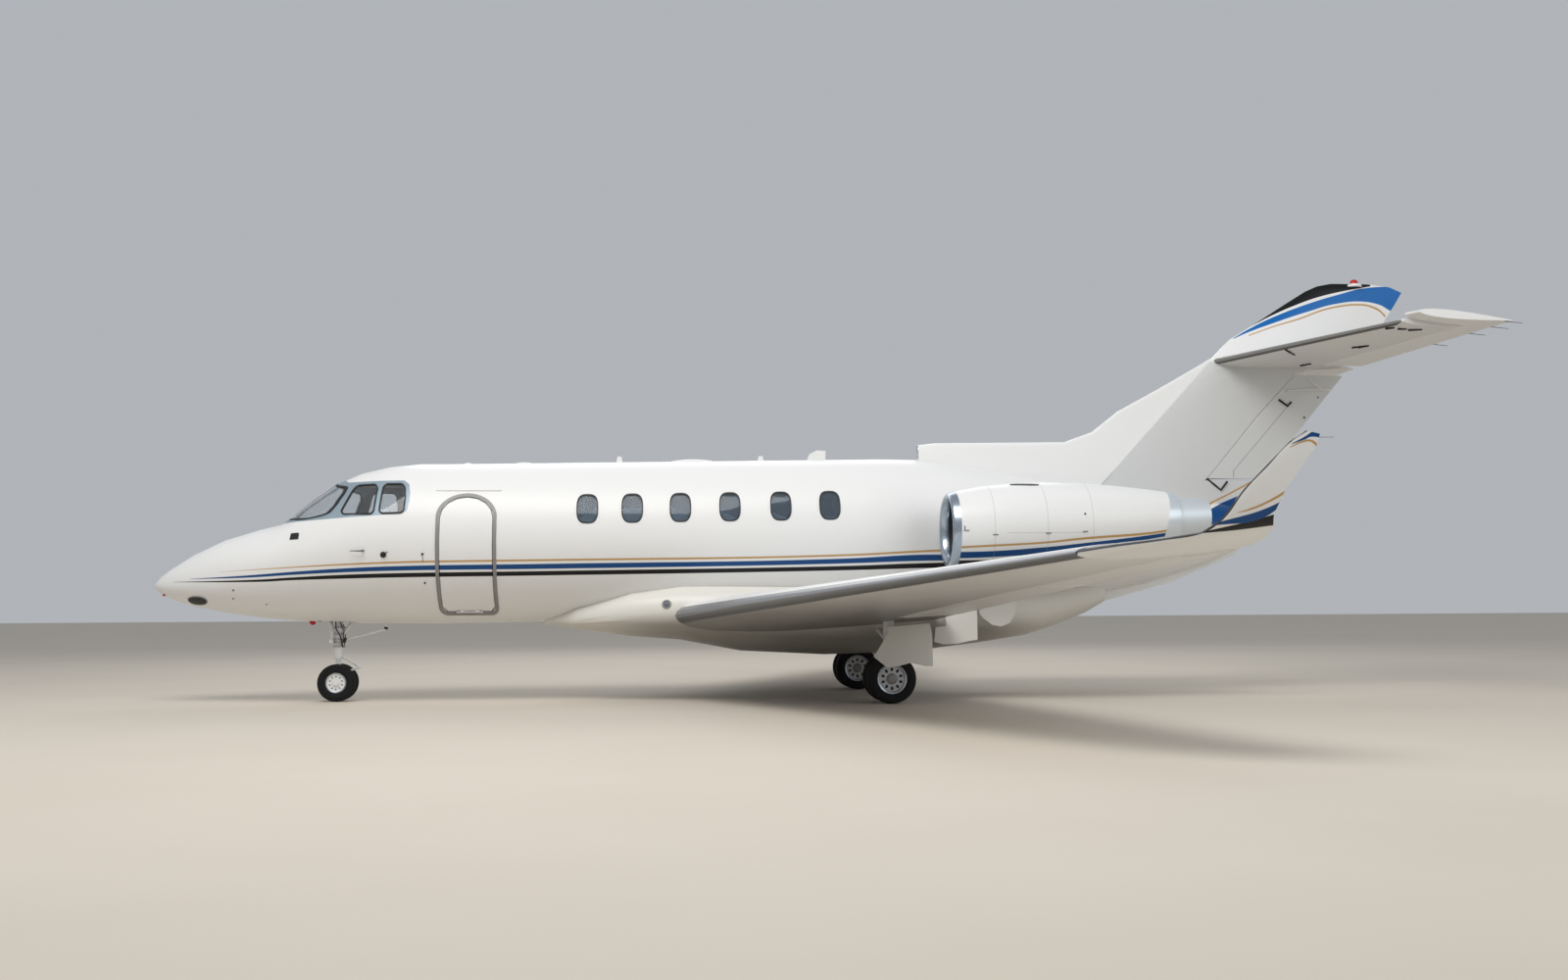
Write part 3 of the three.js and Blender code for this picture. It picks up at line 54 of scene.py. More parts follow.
# Corners this near to each other shade as one, and edges under these angles shade smoothly
SKIN_GAP = 0.0005
SMOOTH_ANGLE = math.radians(38)
FLAT_ANGLE = math.radians(22)

# Camera: place, turn in degrees, lens in millimetres
CAMERA_PLACE = (1.90412, 17.9599, 1.14428)
CAMERA_TURN = (94.4107, 0.3353, 174.8945)
CAMERA_LENS = 33.479

# Colours
WHITE = (0.79, 0.79, 0.78)
# A darker, warmer copy of the white under the body: painted shade with a painted floor reflection
BELLY_SHADED_WHITE = (0.72, 0.70, 0.65)
# A darker copy of the white on the fin and rudder: painted shade on their sides
FIN_SHADED_WHITE = (0.63, 0.64, 0.64)
BLUE = (0.001, 0.055, 0.20)
CAP_BLUE = (0.001, 0.125, 0.42)
BLACK = (0.002, 0.002, 0.003)
GOLD = (0.50, 0.30, 0.11)
SEAM = (0.25, 0.26, 0.27)
DARK_SEAM = (0.05, 0.05, 0.055)
# Painted shade in the nose wheel bay
BAY_SHADE_BLACK = (0.05, 0.05, 0.052)
# Painted shade inside the engine's duct
DUCT_SHADE_BLACK = (0.03, 0.031, 0.033)
STEEL = (0.33, 0.34, 0.36)
DARK_EDGE = (0.10, 0.10, 0.11)
SLATE_EDGE = (0.30, 0.29, 0.275)
HOT_METAL = (0.70, 0.76, 0.80)
# Painted shade on faces that look down, under the body, wing and tail
UNDERSIDE_SHADE = (0.13, 0.122, 0.108)

# Engine: distance of its axis from the middle, and the intake's station and height
ENGINE_Y = 1.393
INTAKE_S = 9.35
INTAKE_Z = 1.966

# Columns: station, leg's distance from the middle, tyre radius, rim radius, width, half spread of the pair
NOSE_WHEEL = (2.145, 0.0, 0.222, 0.122, 0.108, 0.092)
MAIN_WHEEL = (8.572, 1.395, 0.280, 0.172, 0.178, 0.155)


def at(station, y, z):
    """The point at a station, distance to port and height."""
    return Vector((NOSE_X - station, y, z))


def shade(colour, share):
    """A colour with this share of its light."""
    return tuple(share * c for c in colour)


def around(count):
    """Angles of equal steps round a circle."""
    return [2 * math.pi * k / count for k in range(count)]


def swollen(value, power):
    """A value from -1 to 1 raised to a power, with its sign."""
    return math.copysign(abs(value) ** power, value)


def placed(name, data):
    """A new object in the scene."""
    thing = bpy.data.objects.new(name, data)
    bpy.context.scene.collection.objects.link(thing)
    return thing


# Shader graphs: the margin that a curve keeps above and below its points
CURVE_MARGIN = 0.01


class Graph:
    """A material's node graph, with short names for the steps that it repeats."""

    def __init__(self, name):
        self.material = bpy.data.materials.new(name)
        self.material.use_nodes = True
        self.tree = self.material.node_tree
        self.tree.nodes.clear()
        self.shader = self.add("BsdfPrincipled")
        self.link(self.shader.outputs[0], self.add("OutputMaterial").inputs["Surface"])
        self.place = self.add("TexCoord").outputs["Object"]
        x, y, self.z = self.split(self.place)
        self.station = self.math("SUBTRACT", NOSE_X, x)
        self.side = self.math("ABSOLUTE", y)

    def add(self, kind):
        return self.tree.nodes.new("ShaderNode" + kind)

    def split(self, vector):
        """The x, y and z of a vector."""
        node = self.add("SeparateXYZ")
        self.link(vector, node.inputs[0])
        return node.outputs

    def link(self, source, target):
        if isinstance(source, (int, float)):
            target.default_value = source
        elif isinstance(source, tuple):
            target.default_value = (*source, 1.0)
        else:
            self.tree.links.new(source, target)

    def math(self, kind, a, b=None, c=None, clamp=False):
        """A sum or another step on up to three values."""
        node = self.add("Math")
        node.operation = kind
        node.use_clamp = clamp
        for value, socket in zip((a, b, c), node.inputs):
            if value is not None:
                self.link(value, socket)
        return node.outputs[0]

    def mix(self, share, a, b):
        """Colour a, with this share of b."""
        node = self.add("Mix")
        node.data_type = "RGBA"
        self.link(share, node.inputs[0])
        self.link(a, node.inputs[6])
        self.link(b, node.inputs[7])
        return node.outputs[2]

    def noise(self, scale, detail=2.0, stretch=(1, 1, 1)):
        mapping = self.add("Mapping")
        self.link(self.place, mapping.inputs["Vector"])
        mapping.inputs["Scale"].default_value = stretch
        node = self.add("TexNoise")
        self.link(mapping.outputs[0], node.inputs["Vector"])
        node.inputs["Scale"].default_value = scale
        node.inputs["Detail"].default_value = detail
        return node.outputs["Fac"]

    def curve(self, value, points):
        """A smooth curve through (value, result) points, level beyond its ends."""
        low_x, high_x = points[0][0], points[-1][0]
        low_y = min(p[1] for p in points) - CURVE_MARGIN
        high_y = max(p[1] for p in points) + CURVE_MARGIN
        node = self.add("FloatCurve")
        line = node.mapping.curves[0]
        scaled = [((x - low_x) / (high_x - low_x), (y - low_y) / (high_y - low_y)) for x, y in points]
        line.points[0].location = scaled[0]
        line.points[1].location = scaled[-1]
        for point in scaled[1:-1]:
            line.points.new(*point)
        for point in line.points:
            point.handle_type = "AUTO_CLAMPED"
        node.mapping.update()
        shifted = self.math("SUBTRACT", value, low_x)
        share = self.math("DIVIDE", shifted, high_x - low_x, clamp=True)
        self.link(share, node.inputs["Value"])
        return self.spread(node.outputs[0], high_y - low_y, low_y)

    def above(self, value, edge, soft=0.004):
        """1 where value is over the edge, 0 under it, with a short soft step."""
        gap = self.math("SUBTRACT", value, edge)
        return self.math("MULTIPLY_ADD", gap, 1 / soft, 0.5, clamp=True)

    def band(self, value, low, high, soft=0.004):
        """1 where value is between two edges."""
        return self.times(self.above(value, low, soft), self.above(high, value, soft))

    def times(self, a, b):
        return self.math("MULTIPLY", a, b)

    def spread(self, value, width, start):
        """A value times a width, from a start."""
        return self.math("MULTIPLY_ADD", value, width, start)

    def underside(self, start=0.15, end=0.75):
        """0 on faces that look up or sideways, rising to 1 on those that look down."""
        normal = self.split(self.add("NewGeometry").outputs["Normal"])
        down = self.times(normal[2], -1.0)
        gap = self.math("SUBTRACT", down, start)
        return self.math("DIVIDE", gap, end - start, clamp=True)

    def from_line(self, side, height):
        """The distance from a line along the body at this side and height."""
        across = self.math("SUBTRACT", self.side, side)
        up = self.math("SUBTRACT", self.z, height)
        return self.math("SQRT", self.math("ADD", self.times(across, across), self.times(up, up)))

    def stripe(self, colour, paint, low, high):
        """Paint between two lines of (station, height) points."""
        start, end = low[0][0], low[-1][0]
        across = self.band(self.z, self.curve(self.station, low), self.curve(self.station, high))
        return self.mix(self.times(across, self.band(self.station, start, end)), colour, paint)

    def bump(self, height, strength, distance):
        node = self.add("Bump")
        node.inputs["Strength"].default_value = strength
        node.inputs["Distance"].default_value = distance
        self.link(height, node.inputs["Height"])
        self.link(node.outputs[0], self.shader.inputs["Normal"])

    def finish(self, colour, roughness, metallic=0.0):
        self.link(colour, self.shader.inputs["Base Color"])
        self.link(roughness, self.shader.inputs["Roughness"])
        self.link(metallic, self.shader.inputs["Metallic"])
        return self.material


# Each band of paint: its colour, then the (station, height) points of its lower and its upper edge
BODY_LINES = [
    (GOLD, [(0.9, 1.535), (2.92, 1.616), (3.78, 1.629), (4.69, 1.637), (8.12, 1.683), (9.07, 1.728),
     (9.57, 1.75), (10.25, 1.786), (10.7, 1.828), (11.62, 1.905), (12.17, 2.045), (12.83, 2.31),
     (13.6, 2.68)],
     [(0.9, 1.538), (2.92, 1.638), (3.78, 1.651), (4.69, 1.66), (8.12, 1.706), (9.07, 1.752),
      (9.57, 1.774), (10.25, 1.808), (10.7, 1.855), (11.62, 1.932), (12.17, 2.07), (12.83, 2.335),
      (13.6, 2.705)]),
    (BLUE, [(0.5, 1.455), (1.2, 1.465), (1.79, 1.494), (2.35, 1.518), (2.91, 1.533), (4.69, 1.549),
     (8.12, 1.598), (9.07, 1.628), (9.57, 1.636), (10.25, 1.674), (10.7, 1.716), (11.62, 1.854),
     (12.17, 1.948), (12.79, 2.07), (12.96, 2.1), (13.3, 2.45)],
     [(0.5, 1.458), (1.2, 1.49), (1.79, 1.53), (2.35, 1.563), (2.91, 1.584), (4.69, 1.606), (8.12, 1.655),
      (9.07, 1.7), (9.57, 1.703), (10.25, 1.745), (10.7, 1.789), (11.62, 1.898), (12.17, 1.988),
      (12.4, 2.07), (12.79, 2.25), (13.3, 2.46)]),
    (BLACK, [(0.28, 1.422), (1.2, 1.415), (1.79, 1.433), (2.35, 1.446), (2.91, 1.456), (4.69, 1.473),
     (8.12, 1.518), (9.07, 1.542), (9.57, 1.553), (9.98, 1.604)],
     [(0.28, 1.425), (1.2, 1.438), (1.79, 1.466), (2.35, 1.491), (2.91, 1.505), (4.69, 1.524),
      (8.12, 1.569), (9.07, 1.6), (9.57, 1.609), (9.98, 1.608)]),
]
FIN_CAP_LINES = [
    (BLACK, [(13.55, 4.65), (13.85, 4.803), (14.14, 4.928), (14.44, 5.035), (14.73, 5.109), (15.18, 5.198)],
     [(13.55, 5.4), (15.18, 5.4)]),
    (CAP_BLUE, [(13.31, 4.485), (13.52, 4.576), (13.84, 4.691), (14.31, 4.847), (14.72, 4.959),
     (15.02, 4.991), (15.25, 4.965), (15.42, 4.889), (15.62, 4.78)],
     [(13.31, 4.494), (13.52, 4.615), (13.84, 4.77), (14.44, 4.992), (14.73, 5.077), (15.03, 5.158),
      (15.33, 5.195), (15.62, 5.2)]),
    (GOLD, [(13.5, 4.518), (13.83, 4.634), (14.13, 4.722), (14.72, 4.908), (15.02, 4.937), (15.22, 4.896),
     (15.37, 4.79)],
     [(13.5, 4.532), (13.83, 4.65), (14.13, 4.742), (14.72, 4.93), (15.02, 4.96), (15.22, 4.925),
      (15.37, 4.825)]),
]
WINGLET_LINES = [
    (BLACK, [(9.7, 1.61), (9.79, 1.616), (9.99, 1.634), (10.26, 1.668)],
     [(9.7, 1.614), (9.77, 1.63), (10.03, 1.688), (10.26, 1.75)]),
    (BLUE, [(9.76, 1.66), (9.83, 1.666), (10.08, 1.693), (10.26, 1.79), (10.4, 1.88)],
     [(9.76, 1.669), (9.83, 1.688), (10.14, 1.775), (10.31, 1.862), (10.4, 1.94)]),
    (GOLD, [(9.94, 1.747), (10.02, 1.762), (10.17, 1.82), (10.31, 1.903), (10.45, 2.03)],
     [(9.94, 1.751), (10.02, 1.775), (10.17, 1.838), (10.31, 1.928), (10.45, 2.06)]),
    (BLACK, [(10.27, 2.235), (10.34, 2.268), (10.42, 2.313)],
     [(10.27, 2.4), (10.42, 2.4)]),
    (BLUE, [(10.3, 2.217), (10.39, 2.248), (10.45, 2.269), (10.53, 2.25)],
     [(10.3, 2.222), (10.39, 2.269), (10.46, 2.31), (10.53, 2.32)]),
    (GOLD, [(10.29, 2.193), (10.37, 2.226), (10.42, 2.236), (10.455, 2.222), (10.49, 2.17)],
     [(10.29, 2.2), (10.37, 2.239), (10.42, 2.25), (10.455, 2.243), (10.49, 2.21)]),
]

# Materials: reflection of paint and rubber, and how the glass bends light
PAINT_GLOSS = 0.32
RUBBER_GLOSS = 0.25
GLASS_INDEX = 1.3


def painted(name, base, lines=(), detail=None):
    """Gloss paint with painted bands and a little unevenness."""
    g = Graph(name)
    cloud = g.noise(scale=0.9, detail=3.0)
    colour = g.mix(g.times(cloud, 0.10), base, shade(base, 0.86))
    for paint, low, high in lines:
        colour = g.stripe(colour, paint, low, high)
    smudge = g.noise(scale=2.2, detail=4.0, stretch=(0.5, 1, 1.6))
    roughness = g.spread(smudge, width=0.16, start=0.26)
    metallic = 0.0
    if detail:
        colour, roughness, metallic = detail(g, colour, roughness)
    g.bump(g.noise(scale=1.6, detail=2.0), strength=0.10, distance=0.01)
    g.shader.inputs["Specular IOR Level"].default_value = PAINT_GLOSS
    return g.finish(colour, roughness, metallic)


def bare_edge(line, along, width, tone=STEEL, shine=0.38, grime=()):
    """Bare metal behind a leading edge, a curve of station along the side or z, with painted shade
    underneath.
    """

    def draw(g, colour, roughness):
        # Painted shade on the paint of faces that look down
        if grime:
            share = g.times(g.underside(), g.curve(g.side, grime))
            colour = g.mix(share, colour, UNDERSIDE_SHADE)
        edge = g.curve(getattr(g, along), line)
        behind = g.math("SUBTRACT", g.station, edge)
        mark = g.above(width, behind, 0.003)
        # The bare metal is darker on faces that look down: painted shade
        metal = g.mix(g.times(g.underside(), 0.7), tone, shade(tone, 0.3))
        return g.mix(mark, colour, metal), g.mix(mark, roughness, (shine,) * 3), g.times(mark, 0.7)

    return draw


def plain_metal(name, colour, roughness, brushed=(1, 1, 1), shine=1.0):
    """Bare metal with fine brush marks."""
    g = Graph(name)
    marks = g.noise(scale=60.0, detail=3.0, stretch=brushed)
    tone = g.mix(g.times(marks, 0.25), colour, shade(colour, 0.75))
    g.bump(marks, strength=0.05, distance=0.001)
    return g.finish(tone, g.spread(marks, width=0.15, start=roughness), metallic=shine)


def glazing(name, colour, clear):
    """Tinted window glass that shows the inside faintly."""
    g = Graph(name)
    g.shader.inputs["Transmission Weight"].default_value = clear
    g.shader.inputs["IOR"].default_value = GLASS_INDEX
    tone = g.mix(g.times(g.noise(scale=3.0), 0.2), colour, shade(colour, 0.8))
    return g.finish(tone, g.spread(g.noise(scale=5.0), width=0.03, start=0.02))


def rubber(name):
    """Tyre rubber: near black and dusty."""
    g = Graph(name)
    dust = g.noise(scale=14.0, detail=5.0)
    tone = g.mix(g.times(dust, 0.3), (0.005, 0.005, 0.006), (0.035, 0.033, 0.03))
    g.shader.inputs["Specular IOR Level"].default_value = RUBBER_GLOSS
    g.bump(g.noise(scale=90.0, detail=2.0), strength=0.2, distance=0.001)
    return g.finish(tone, g.spread(dust, width=0.15, start=0.7))


def soft_trim(name, colour, roughness, grain):
    """Leather, carpet or moulded trim with its grain."""
    g = Graph(name)
    pattern = g.noise(scale=grain, detail=3.0)
    tone = g.mix(g.times(pattern, 0.5), colour, shade(colour, 0.7))
    g.bump(pattern, strength=0.3, distance=0.002)
    return g.finish(tone, g.spread(pattern, width=0.1, start=roughness))


# Half width of a painted joint
SEAM_HALF = 0.003
# Cowl: stations of its joints, then heights, stations and least distance out of the joint of its halves
COWL_JOINTS = (9.72, 10.32, 10.85)
HALVES_Z = (1.908, 1.914)
HALVES_S = (9.85, 10.75)
HALVES_OUT = 1.6
# The metal tail band starts at this station on the ground line, and leans aft by this share of the height
TAIL_BAND = 11.36
TAIL_LEAN = 0.2
# Duct behind the intake, painted near black as shade: radius, height of its axis, rear end
DUCT_RADIUS, DUCT_Z, DUCT_END = 0.425, 1.975, 10.4


def nacelle_marks(g, colour, roughness):
    """Joints of the cowl's panels, its metal tail band, and painted shade on the duct inside it."""
    outside = g.above(g.side, HALVES_OUT)
    for station in COWL_JOINTS:
        line = g.band(g.station, station - SEAM_HALF, station + SEAM_HALF, SEAM_HALF)
        colour = g.mix(g.times(line, 0.45), colour, SEAM)
    level = g.times(g.band(g.z, *HALVES_Z, SEAM_HALF), g.band(g.station, *HALVES_S))
    colour = g.mix(g.times(g.times(level, outside), 0.5), colour, SEAM)
    tail = g.above(g.spread(g.z, -TAIL_LEAN, g.station), TAIL_BAND)
    colour = g.mix(tail, colour, HOT_METAL)
    # The duct behind the intake is painted near black and dull: painted shade
    duct_shade = g.times(g.above(DUCT_RADIUS, g.from_line(ENGINE_Y, DUCT_Z)), g.above(DUCT_END, g.station))
    dull = g.mix(duct_shade, roughness, (0.5,) * 3)
    return g.mix(duct_shade, colour, DUCT_SHADE_BLACK), dull, g.times(tail, 0.55)


# Joint of the rudder's balance strip: (height, station) points, and the heights that it runs between
BALANCE_JOINT = [(2.785, 13.252), (3.605, 13.988)]
BALANCE_Z = (2.70, 3.66)


def rudder_marks(g, colour, roughness):
    """The joint of the balance strip behind the hinge line."""
    line = g.curve(g.z, BALANCE_JOINT)
    gap = g.math("SUBTRACT", g.station, line)
    mark = g.times(g.band(gap, -0.004, 0.004, 0.003), g.band(g.z, *BALANCE_Z))
    return g.mix(g.times(mark, 0.8), colour, DARK_SEAM), roughness, 0.0


def bay_shade(stations, half, top):
    """Painted shade over the inside of a wheel bay between two stations."""

    def draw(g, colour, roughness):
        inside = g.times(g.band(g.station, *stations), g.times(g.above(half, g.side), g.above(top, g.z)))
        return g.mix(inside, colour, BAY_SHADE_BLACK), roughness, 0.0

    return draw


# Where painted shade lies: (station, share) under the body, (distance from the middle, share) under wing and
# tail
BELLY_SHADE = [(5.2, 0.1), (6.8, 0.7), (9.2, 0.7), (10.6, 0.15)]
WING_SHADE = [(0.9, 0.85), (2.6, 0.7), (4.5, 0.35), (7.5, 0.12)]
TAIL_SHADE = [(0.0, 0.2), (3.1, 0.1)]


def belly_shade(g, colour, roughness):
    """Painted shade under the body, most of it below the wing."""
    share = g.times(g.underside(), g.curve(g.station, BELLY_SHADE))
    return g.mix(share, colour, UNDERSIDE_SHADE), roughness, 0.0


# Leading edges: (distance from the middle, station), and for the winglet (height, station)
WING_EDGE = [(1.0, 6.16), (7.35, 9.02)]
TAIL_EDGE = [(0.0, 13.0), (2.7, 14.018)]
WINGLET_EDGE = [
    (1.50, 9.02), (1.53, 9.2), (1.568, 9.49), (1.61, 9.715), (1.7, 9.83), (1.91, 9.98), (2.062, 10.12),
    (2.24, 10.29), (2.312, 10.4),
]
nose_bay = bay_shade(stations=(1.915, 2.385), half=0.165, top=1.2)
# The wing's and the tail's paint carry painted shade on their undersides
wing_edge = bare_edge(WING_EDGE, "side", width=0.085, grime=WING_SHADE)
tail_edge = bare_edge(TAIL_EDGE, "side", width=0.05, tone=SLATE_EDGE, shine=0.45, grime=TAIL_SHADE)
winglet_edge = bare_edge(WINGLET_EDGE, "z", width=0.014, tone=DARK_EDGE, shine=0.3)
body_paint = painted("body_paint", WHITE, BODY_LINES, nose_bay)
cowl_paint = painted("cowl_paint", WHITE, BODY_LINES, nacelle_marks)
# Fin and rudder take the darker white: painted shade
fin_paint = painted("fin_paint", FIN_SHADED_WHITE, BODY_LINES)
rudder_paint = painted("rudder_paint", FIN_SHADED_WHITE, BODY_LINES, rudder_marks)
white_paint = painted("white_paint", WHITE)
wing_paint = painted("wing_paint", WHITE, (), wing_edge)
tail_paint = painted("tail_paint", WHITE, (), tail_edge)
winglet_paint = painted("winglet_paint", WHITE, WINGLET_LINES, winglet_edge)
fin_cap_paint = painted("fin_cap_paint", WHITE, FIN_CAP_LINES)
# Belly fairing and gear doors: the darker, warmer white and painted shade underneath
belly_paint = painted("belly_paint", BELLY_SHADED_WHITE, (), belly_shade)
# The polished metal is tinted blue: a painted reflection of the sky
polished = plain_metal("polished_metal", (0.42, 0.48, 0.55), 0.18)
frame_metal = plain_metal("window_frame_metal", (0.31, 0.39, 0.45), 0.42, shine=0.45)
hot_metal = plain_metal("exhaust_metal", HOT_METAL, 0.42, (0.3, 1, 1), 0.55)
band_metal = plain_metal("door_band_metal", (0.27, 0.27, 0.265), 0.5, shine=0.35)
dark_metal = plain_metal("fan_metal", (0.16, 0.17, 0.18), 0.38)
hub_metal = plain_metal("wheel_metal", (0.50, 0.50, 0.51), 0.38)
glass = glazing("window_glass", (0.34, 0.42, 0.50), 0.85)
clear_glass = glazing("cockpit_glazing", (0.90, 0.93, 0.95), 0.96)
tyre = rubber("tyre_rubber")
seal = soft_trim("window_seal", (0.012, 0.013, 0.015), 0.5, 80.0)
leather = soft_trim("cream_leather", (0.80, 0.70, 0.52), 0.55, 120.0)
trim = soft_trim("dark_trim", (0.06, 0.055, 0.05), 0.8, 200.0)
blind = soft_trim("blind_trim", (0.66, 0.69, 0.71), 0.7, 90.0)
mark = soft_trim("black_mark", (0.006, 0.006, 0.007), 0.45, 60.0)
red_lens = painted("red_lens", (0.50, 0.015, 0.015))

# Looks of the solids, by the start of their names
LOOKS = [
    (body_paint, ["radome", "nose_section", "cockpit_shell", "cabin_shell", "door", "aft_body", "pylon"]),
    (cowl_paint, ["cowl"]), (rudder_paint, ["rudder"]), (fin_cap_paint, ["fin_cap"]), (fin_paint, ["fin"]),
    (wing_paint, ["wing_"]), (winglet_paint, ["winglet"]), (tail_paint, ["tailplane"]),
    (frame_metal, ["cockpit_frame"]), (glass, ["cockpit_glass", "cabin_windows"]),
    (belly_paint, ["belly_fairing", "leg_door", "bay_door"]), (polished, ["intake_lip"]),
    (dark_metal, ["fan_"]), (hot_metal, ["engine"]), (hub_metal, ["main_hub"]),
    (trim, ["cabin_floor", "instrument_panel"]), (leather, ["cabin_seats", "pilot_seats"]),
]


def look_for(name):
    for material, starts in LOOKS:
        if name.startswith(tuple(starts)):
            return material
    return tyre if "tyre" in name else white_paint


# Body surface: the cabin's radius, its axis' height at one station and rise for each metre aft
CABIN_RADIUS = 0.965
AXIS_Z, AXIS_S = 1.889, 4.0
AXIS_RISE = 0.014


def cabin_level(station):
    """Height of the cabin's axis at a station."""
    return AXIS_Z + AXIS_RISE * (station - AXIS_S)


def cabin_row(station, half):
    """A row of the body's table in the round cabin."""
    level = cabin_level(station)
    return (station, half, level - CABIN_RADIUS, level, level + CABIN_RADIUS, 2)


# Columns: station, half width, lowest z, z of the widest place, highest z, power of the upper half
BODY_TABLE = [
    (0, 0.014, 1.369, 1.383, 1.397, 2),
    (0.075, 0.108, 1.291, 1.382, 1.488, 2),
    (0.19, 0.195, 1.23, 1.382, 1.578, 2),
    (0.46, 0.35, 1.138, 1.4, 1.752, 2),
    (0.83, 0.5, 1.062, 1.45, 1.93, 2),
    (1.25, 0.64, 0.998, 1.53, 2.057, 2),
    (1.5, 0.708, 0.974, 1.59, 2.116, 2),
    (1.72, 0.76, 0.958, 1.64, 2.315, 1.9),
    (1.93, 0.803, 0.943, 1.69, 2.468, 1.8),
    (2.16, 0.845, 0.932, 1.74, 2.625, 1.8),
    (2.42, 0.888, 0.925, 1.8, 2.735, 1.85),
    (2.74, 0.928, 0.921, 1.85, 2.81, 1.95),
    (3.1, 0.955, 0.917, 1.872, 2.845, 2),
    *[cabin_row(s, CABIN_RADIUS) for s in (3.4, 3.75, 8.35)],
    cabin_row(8.7, 0.945),
    (9.4, 0.845, 1.002, 1.955, 2.905, 2),
    (10.2, 0.735, 1.055, 1.945, 2.77, 2),
    (11.2, 0.62, 1.185, 1.94, 2.56, 2),
    (12.1, 0.49, 1.375, 1.975, 2.44, 2),
    (12.9, 0.34, 1.61, 2.02, 2.38, 2),
    (13.5, 0.185, 1.89, 2.11, 2.33, 2),
    (13.75, 0.09, 2.06, 2.165, 2.27, 2),
]


def body_row(station):
    """The body's section at a station, by smooth interpolation of the table."""
    table = BODY_TABLE
    i = max(k for k in range(len(table) - 1) if k == 0 or table[k][0] < station)
    a, b = table[i], table[i + 1]
    width = b[0] - a[0]
    t = min(max((station - a[0]) / width, 0), 1)
    row = []
    for k in range(len(a)):
        slope = (b[k] - a[k]) / width
        before = (a[k] - table[i - 1][k]) / (a[0] - table[i - 1][0]) if i else slope
        after = (table[i + 2][k] - b[k]) / (table[i + 2][0] - b[0]) if i + 2 < len(table) else slope
        m0 = 2 * before * slope / (before + slope) if before * slope > 0 else 0
        m1 = 2 * after * slope / (after + slope) if after * slope > 0 else 0
        row.append(
            (2 * t**3 - 3 * t**2 + 1) * a[k] + (t**3 - 2 * t**2 + t) * width * m0
            + (3 * t**2 - 2 * t**3) * b[k] + (t**3 - t**2) * width * m1
        )
    return row


SLOPE_STEP = 0.002


def section_at(station, z):
    """Half width, power, and the share of the way from the widest place to the top or the bottom."""
    _, half, low, wide, high, power = body_row(station)
    if z > wide:
        return half, power, (z - wide) / (high - wide)
    return half, 2, (wide - z) / (wide - low)


def body_level(point):
    """1 on the body's surface, more outside it."""
    half, power, share = section_at(NOSE_X - point.x, point.z)
    return (abs(point.y) / half) ** power + share**power


def body_normal(point):
    """The outward direction of the body's surface near a point."""
    slopes = []
    for axis in range(3):
        shift = Vector((0, 0, 0))
        shift[axis] = SLOPE_STEP
        slopes.append(body_level(point + shift) - body_level(point - shift))
    return Vector(slopes).normalized()


def on_body(station, z, side=1, lift=0.0):
    """The point of the body's side at a station and height, lifted off its surface."""
    half, power, share = section_at(station, z)
    point = at(station, side * half * max(0.0, 1 - share**power) ** (1 / power), z)
    return point + lift * body_normal(point)


# Soft shading of the solids: how near to the body's surface a corner lies, and how nearly along it
NEAR_SKIN = 0.025
ALONG_SKIN = 0.93


def smooth(names, angle=SMOOTH_ANGLE, on_skin=False):
    """Shades these solids smoothly across edges under an angle and across the thin gaps between them."""
    corners = []
    for name in names:
        mesh = nodes[name].data
        for face in mesh.polygons:
            for k, vertex in enumerate(face.vertices):
                point = mesh.vertices[vertex].co
                a = mesh.vertices[face.vertices[k - 1]].co - point
                b = mesh.vertices[face.vertices[(k + 1) % len(face.vertices)]].co - point
                weight = face.area * a.angle(b, 0.0)
                corners.append((name, point.copy(), face.normal.copy(), weight))
    tree = KDTree(len(corners))
    for i, corner in enumerate(corners):
        tree.insert(corner[1], i)
    tree.balance()
    limit = math.cos(angle)
    normals = {name: [] for name in names}
    for name, point, normal, _ in corners:
        if on_skin and abs(body_level(point) - 1) < NEAR_SKIN:
            skin = body_normal(point)
            if skin.dot(normal) > ALONG_SKIN:
                normals[name].append(skin)
                continue
        total = Vector((0, 0, 0))
        for _, i, _ in tree.find_range(point, SKIN_GAP):
            if corners[i][2].dot(normal) > limit:
                total += corners[i][2] * corners[i][3]
        normals[name].append(total.normalized() if total.length > 0 else normal)
    for name in names:
        mesh = nodes[name].data
        mesh.shade_smooth()
        mesh.normals_split_custom_set(normals[name])


BODY_NODES = ["radome", "nose_section", "cockpit_shell", "cockpit_frame", "cabin_shell", "door", "aft_body"]
SHARED_SKINS = [
    ["tailplane"], ["fin", "fin_cap"], ["cowl_left", "intake_lip_left"], ["cowl_right", "intake_lip_right"],
]
smooth(BODY_NODES, on_skin=True)
for group in SHARED_SKINS:
    smooth(group)
done = set(BODY_NODES).union(*SHARED_SKINS)
for name, piece in nodes.items():
    piece.data.materials.clear()
    piece.data.materials.append(look_for(name))
    if name not in done:
        smooth([name], FLAT_ANGLE if name.startswith("elevator") else SMOOTH_ANGLE)


# Mesh helpers: the least radius of a turned profile, and the distance under which two points are one
SMALLEST = 1e-5
SAME_POINT = 1e-6


def circle(middle, radius, across, other, sides):
    return [middle + radius * (across * math.cos(t) + other * math.sin(t)) for t in around(sides)]


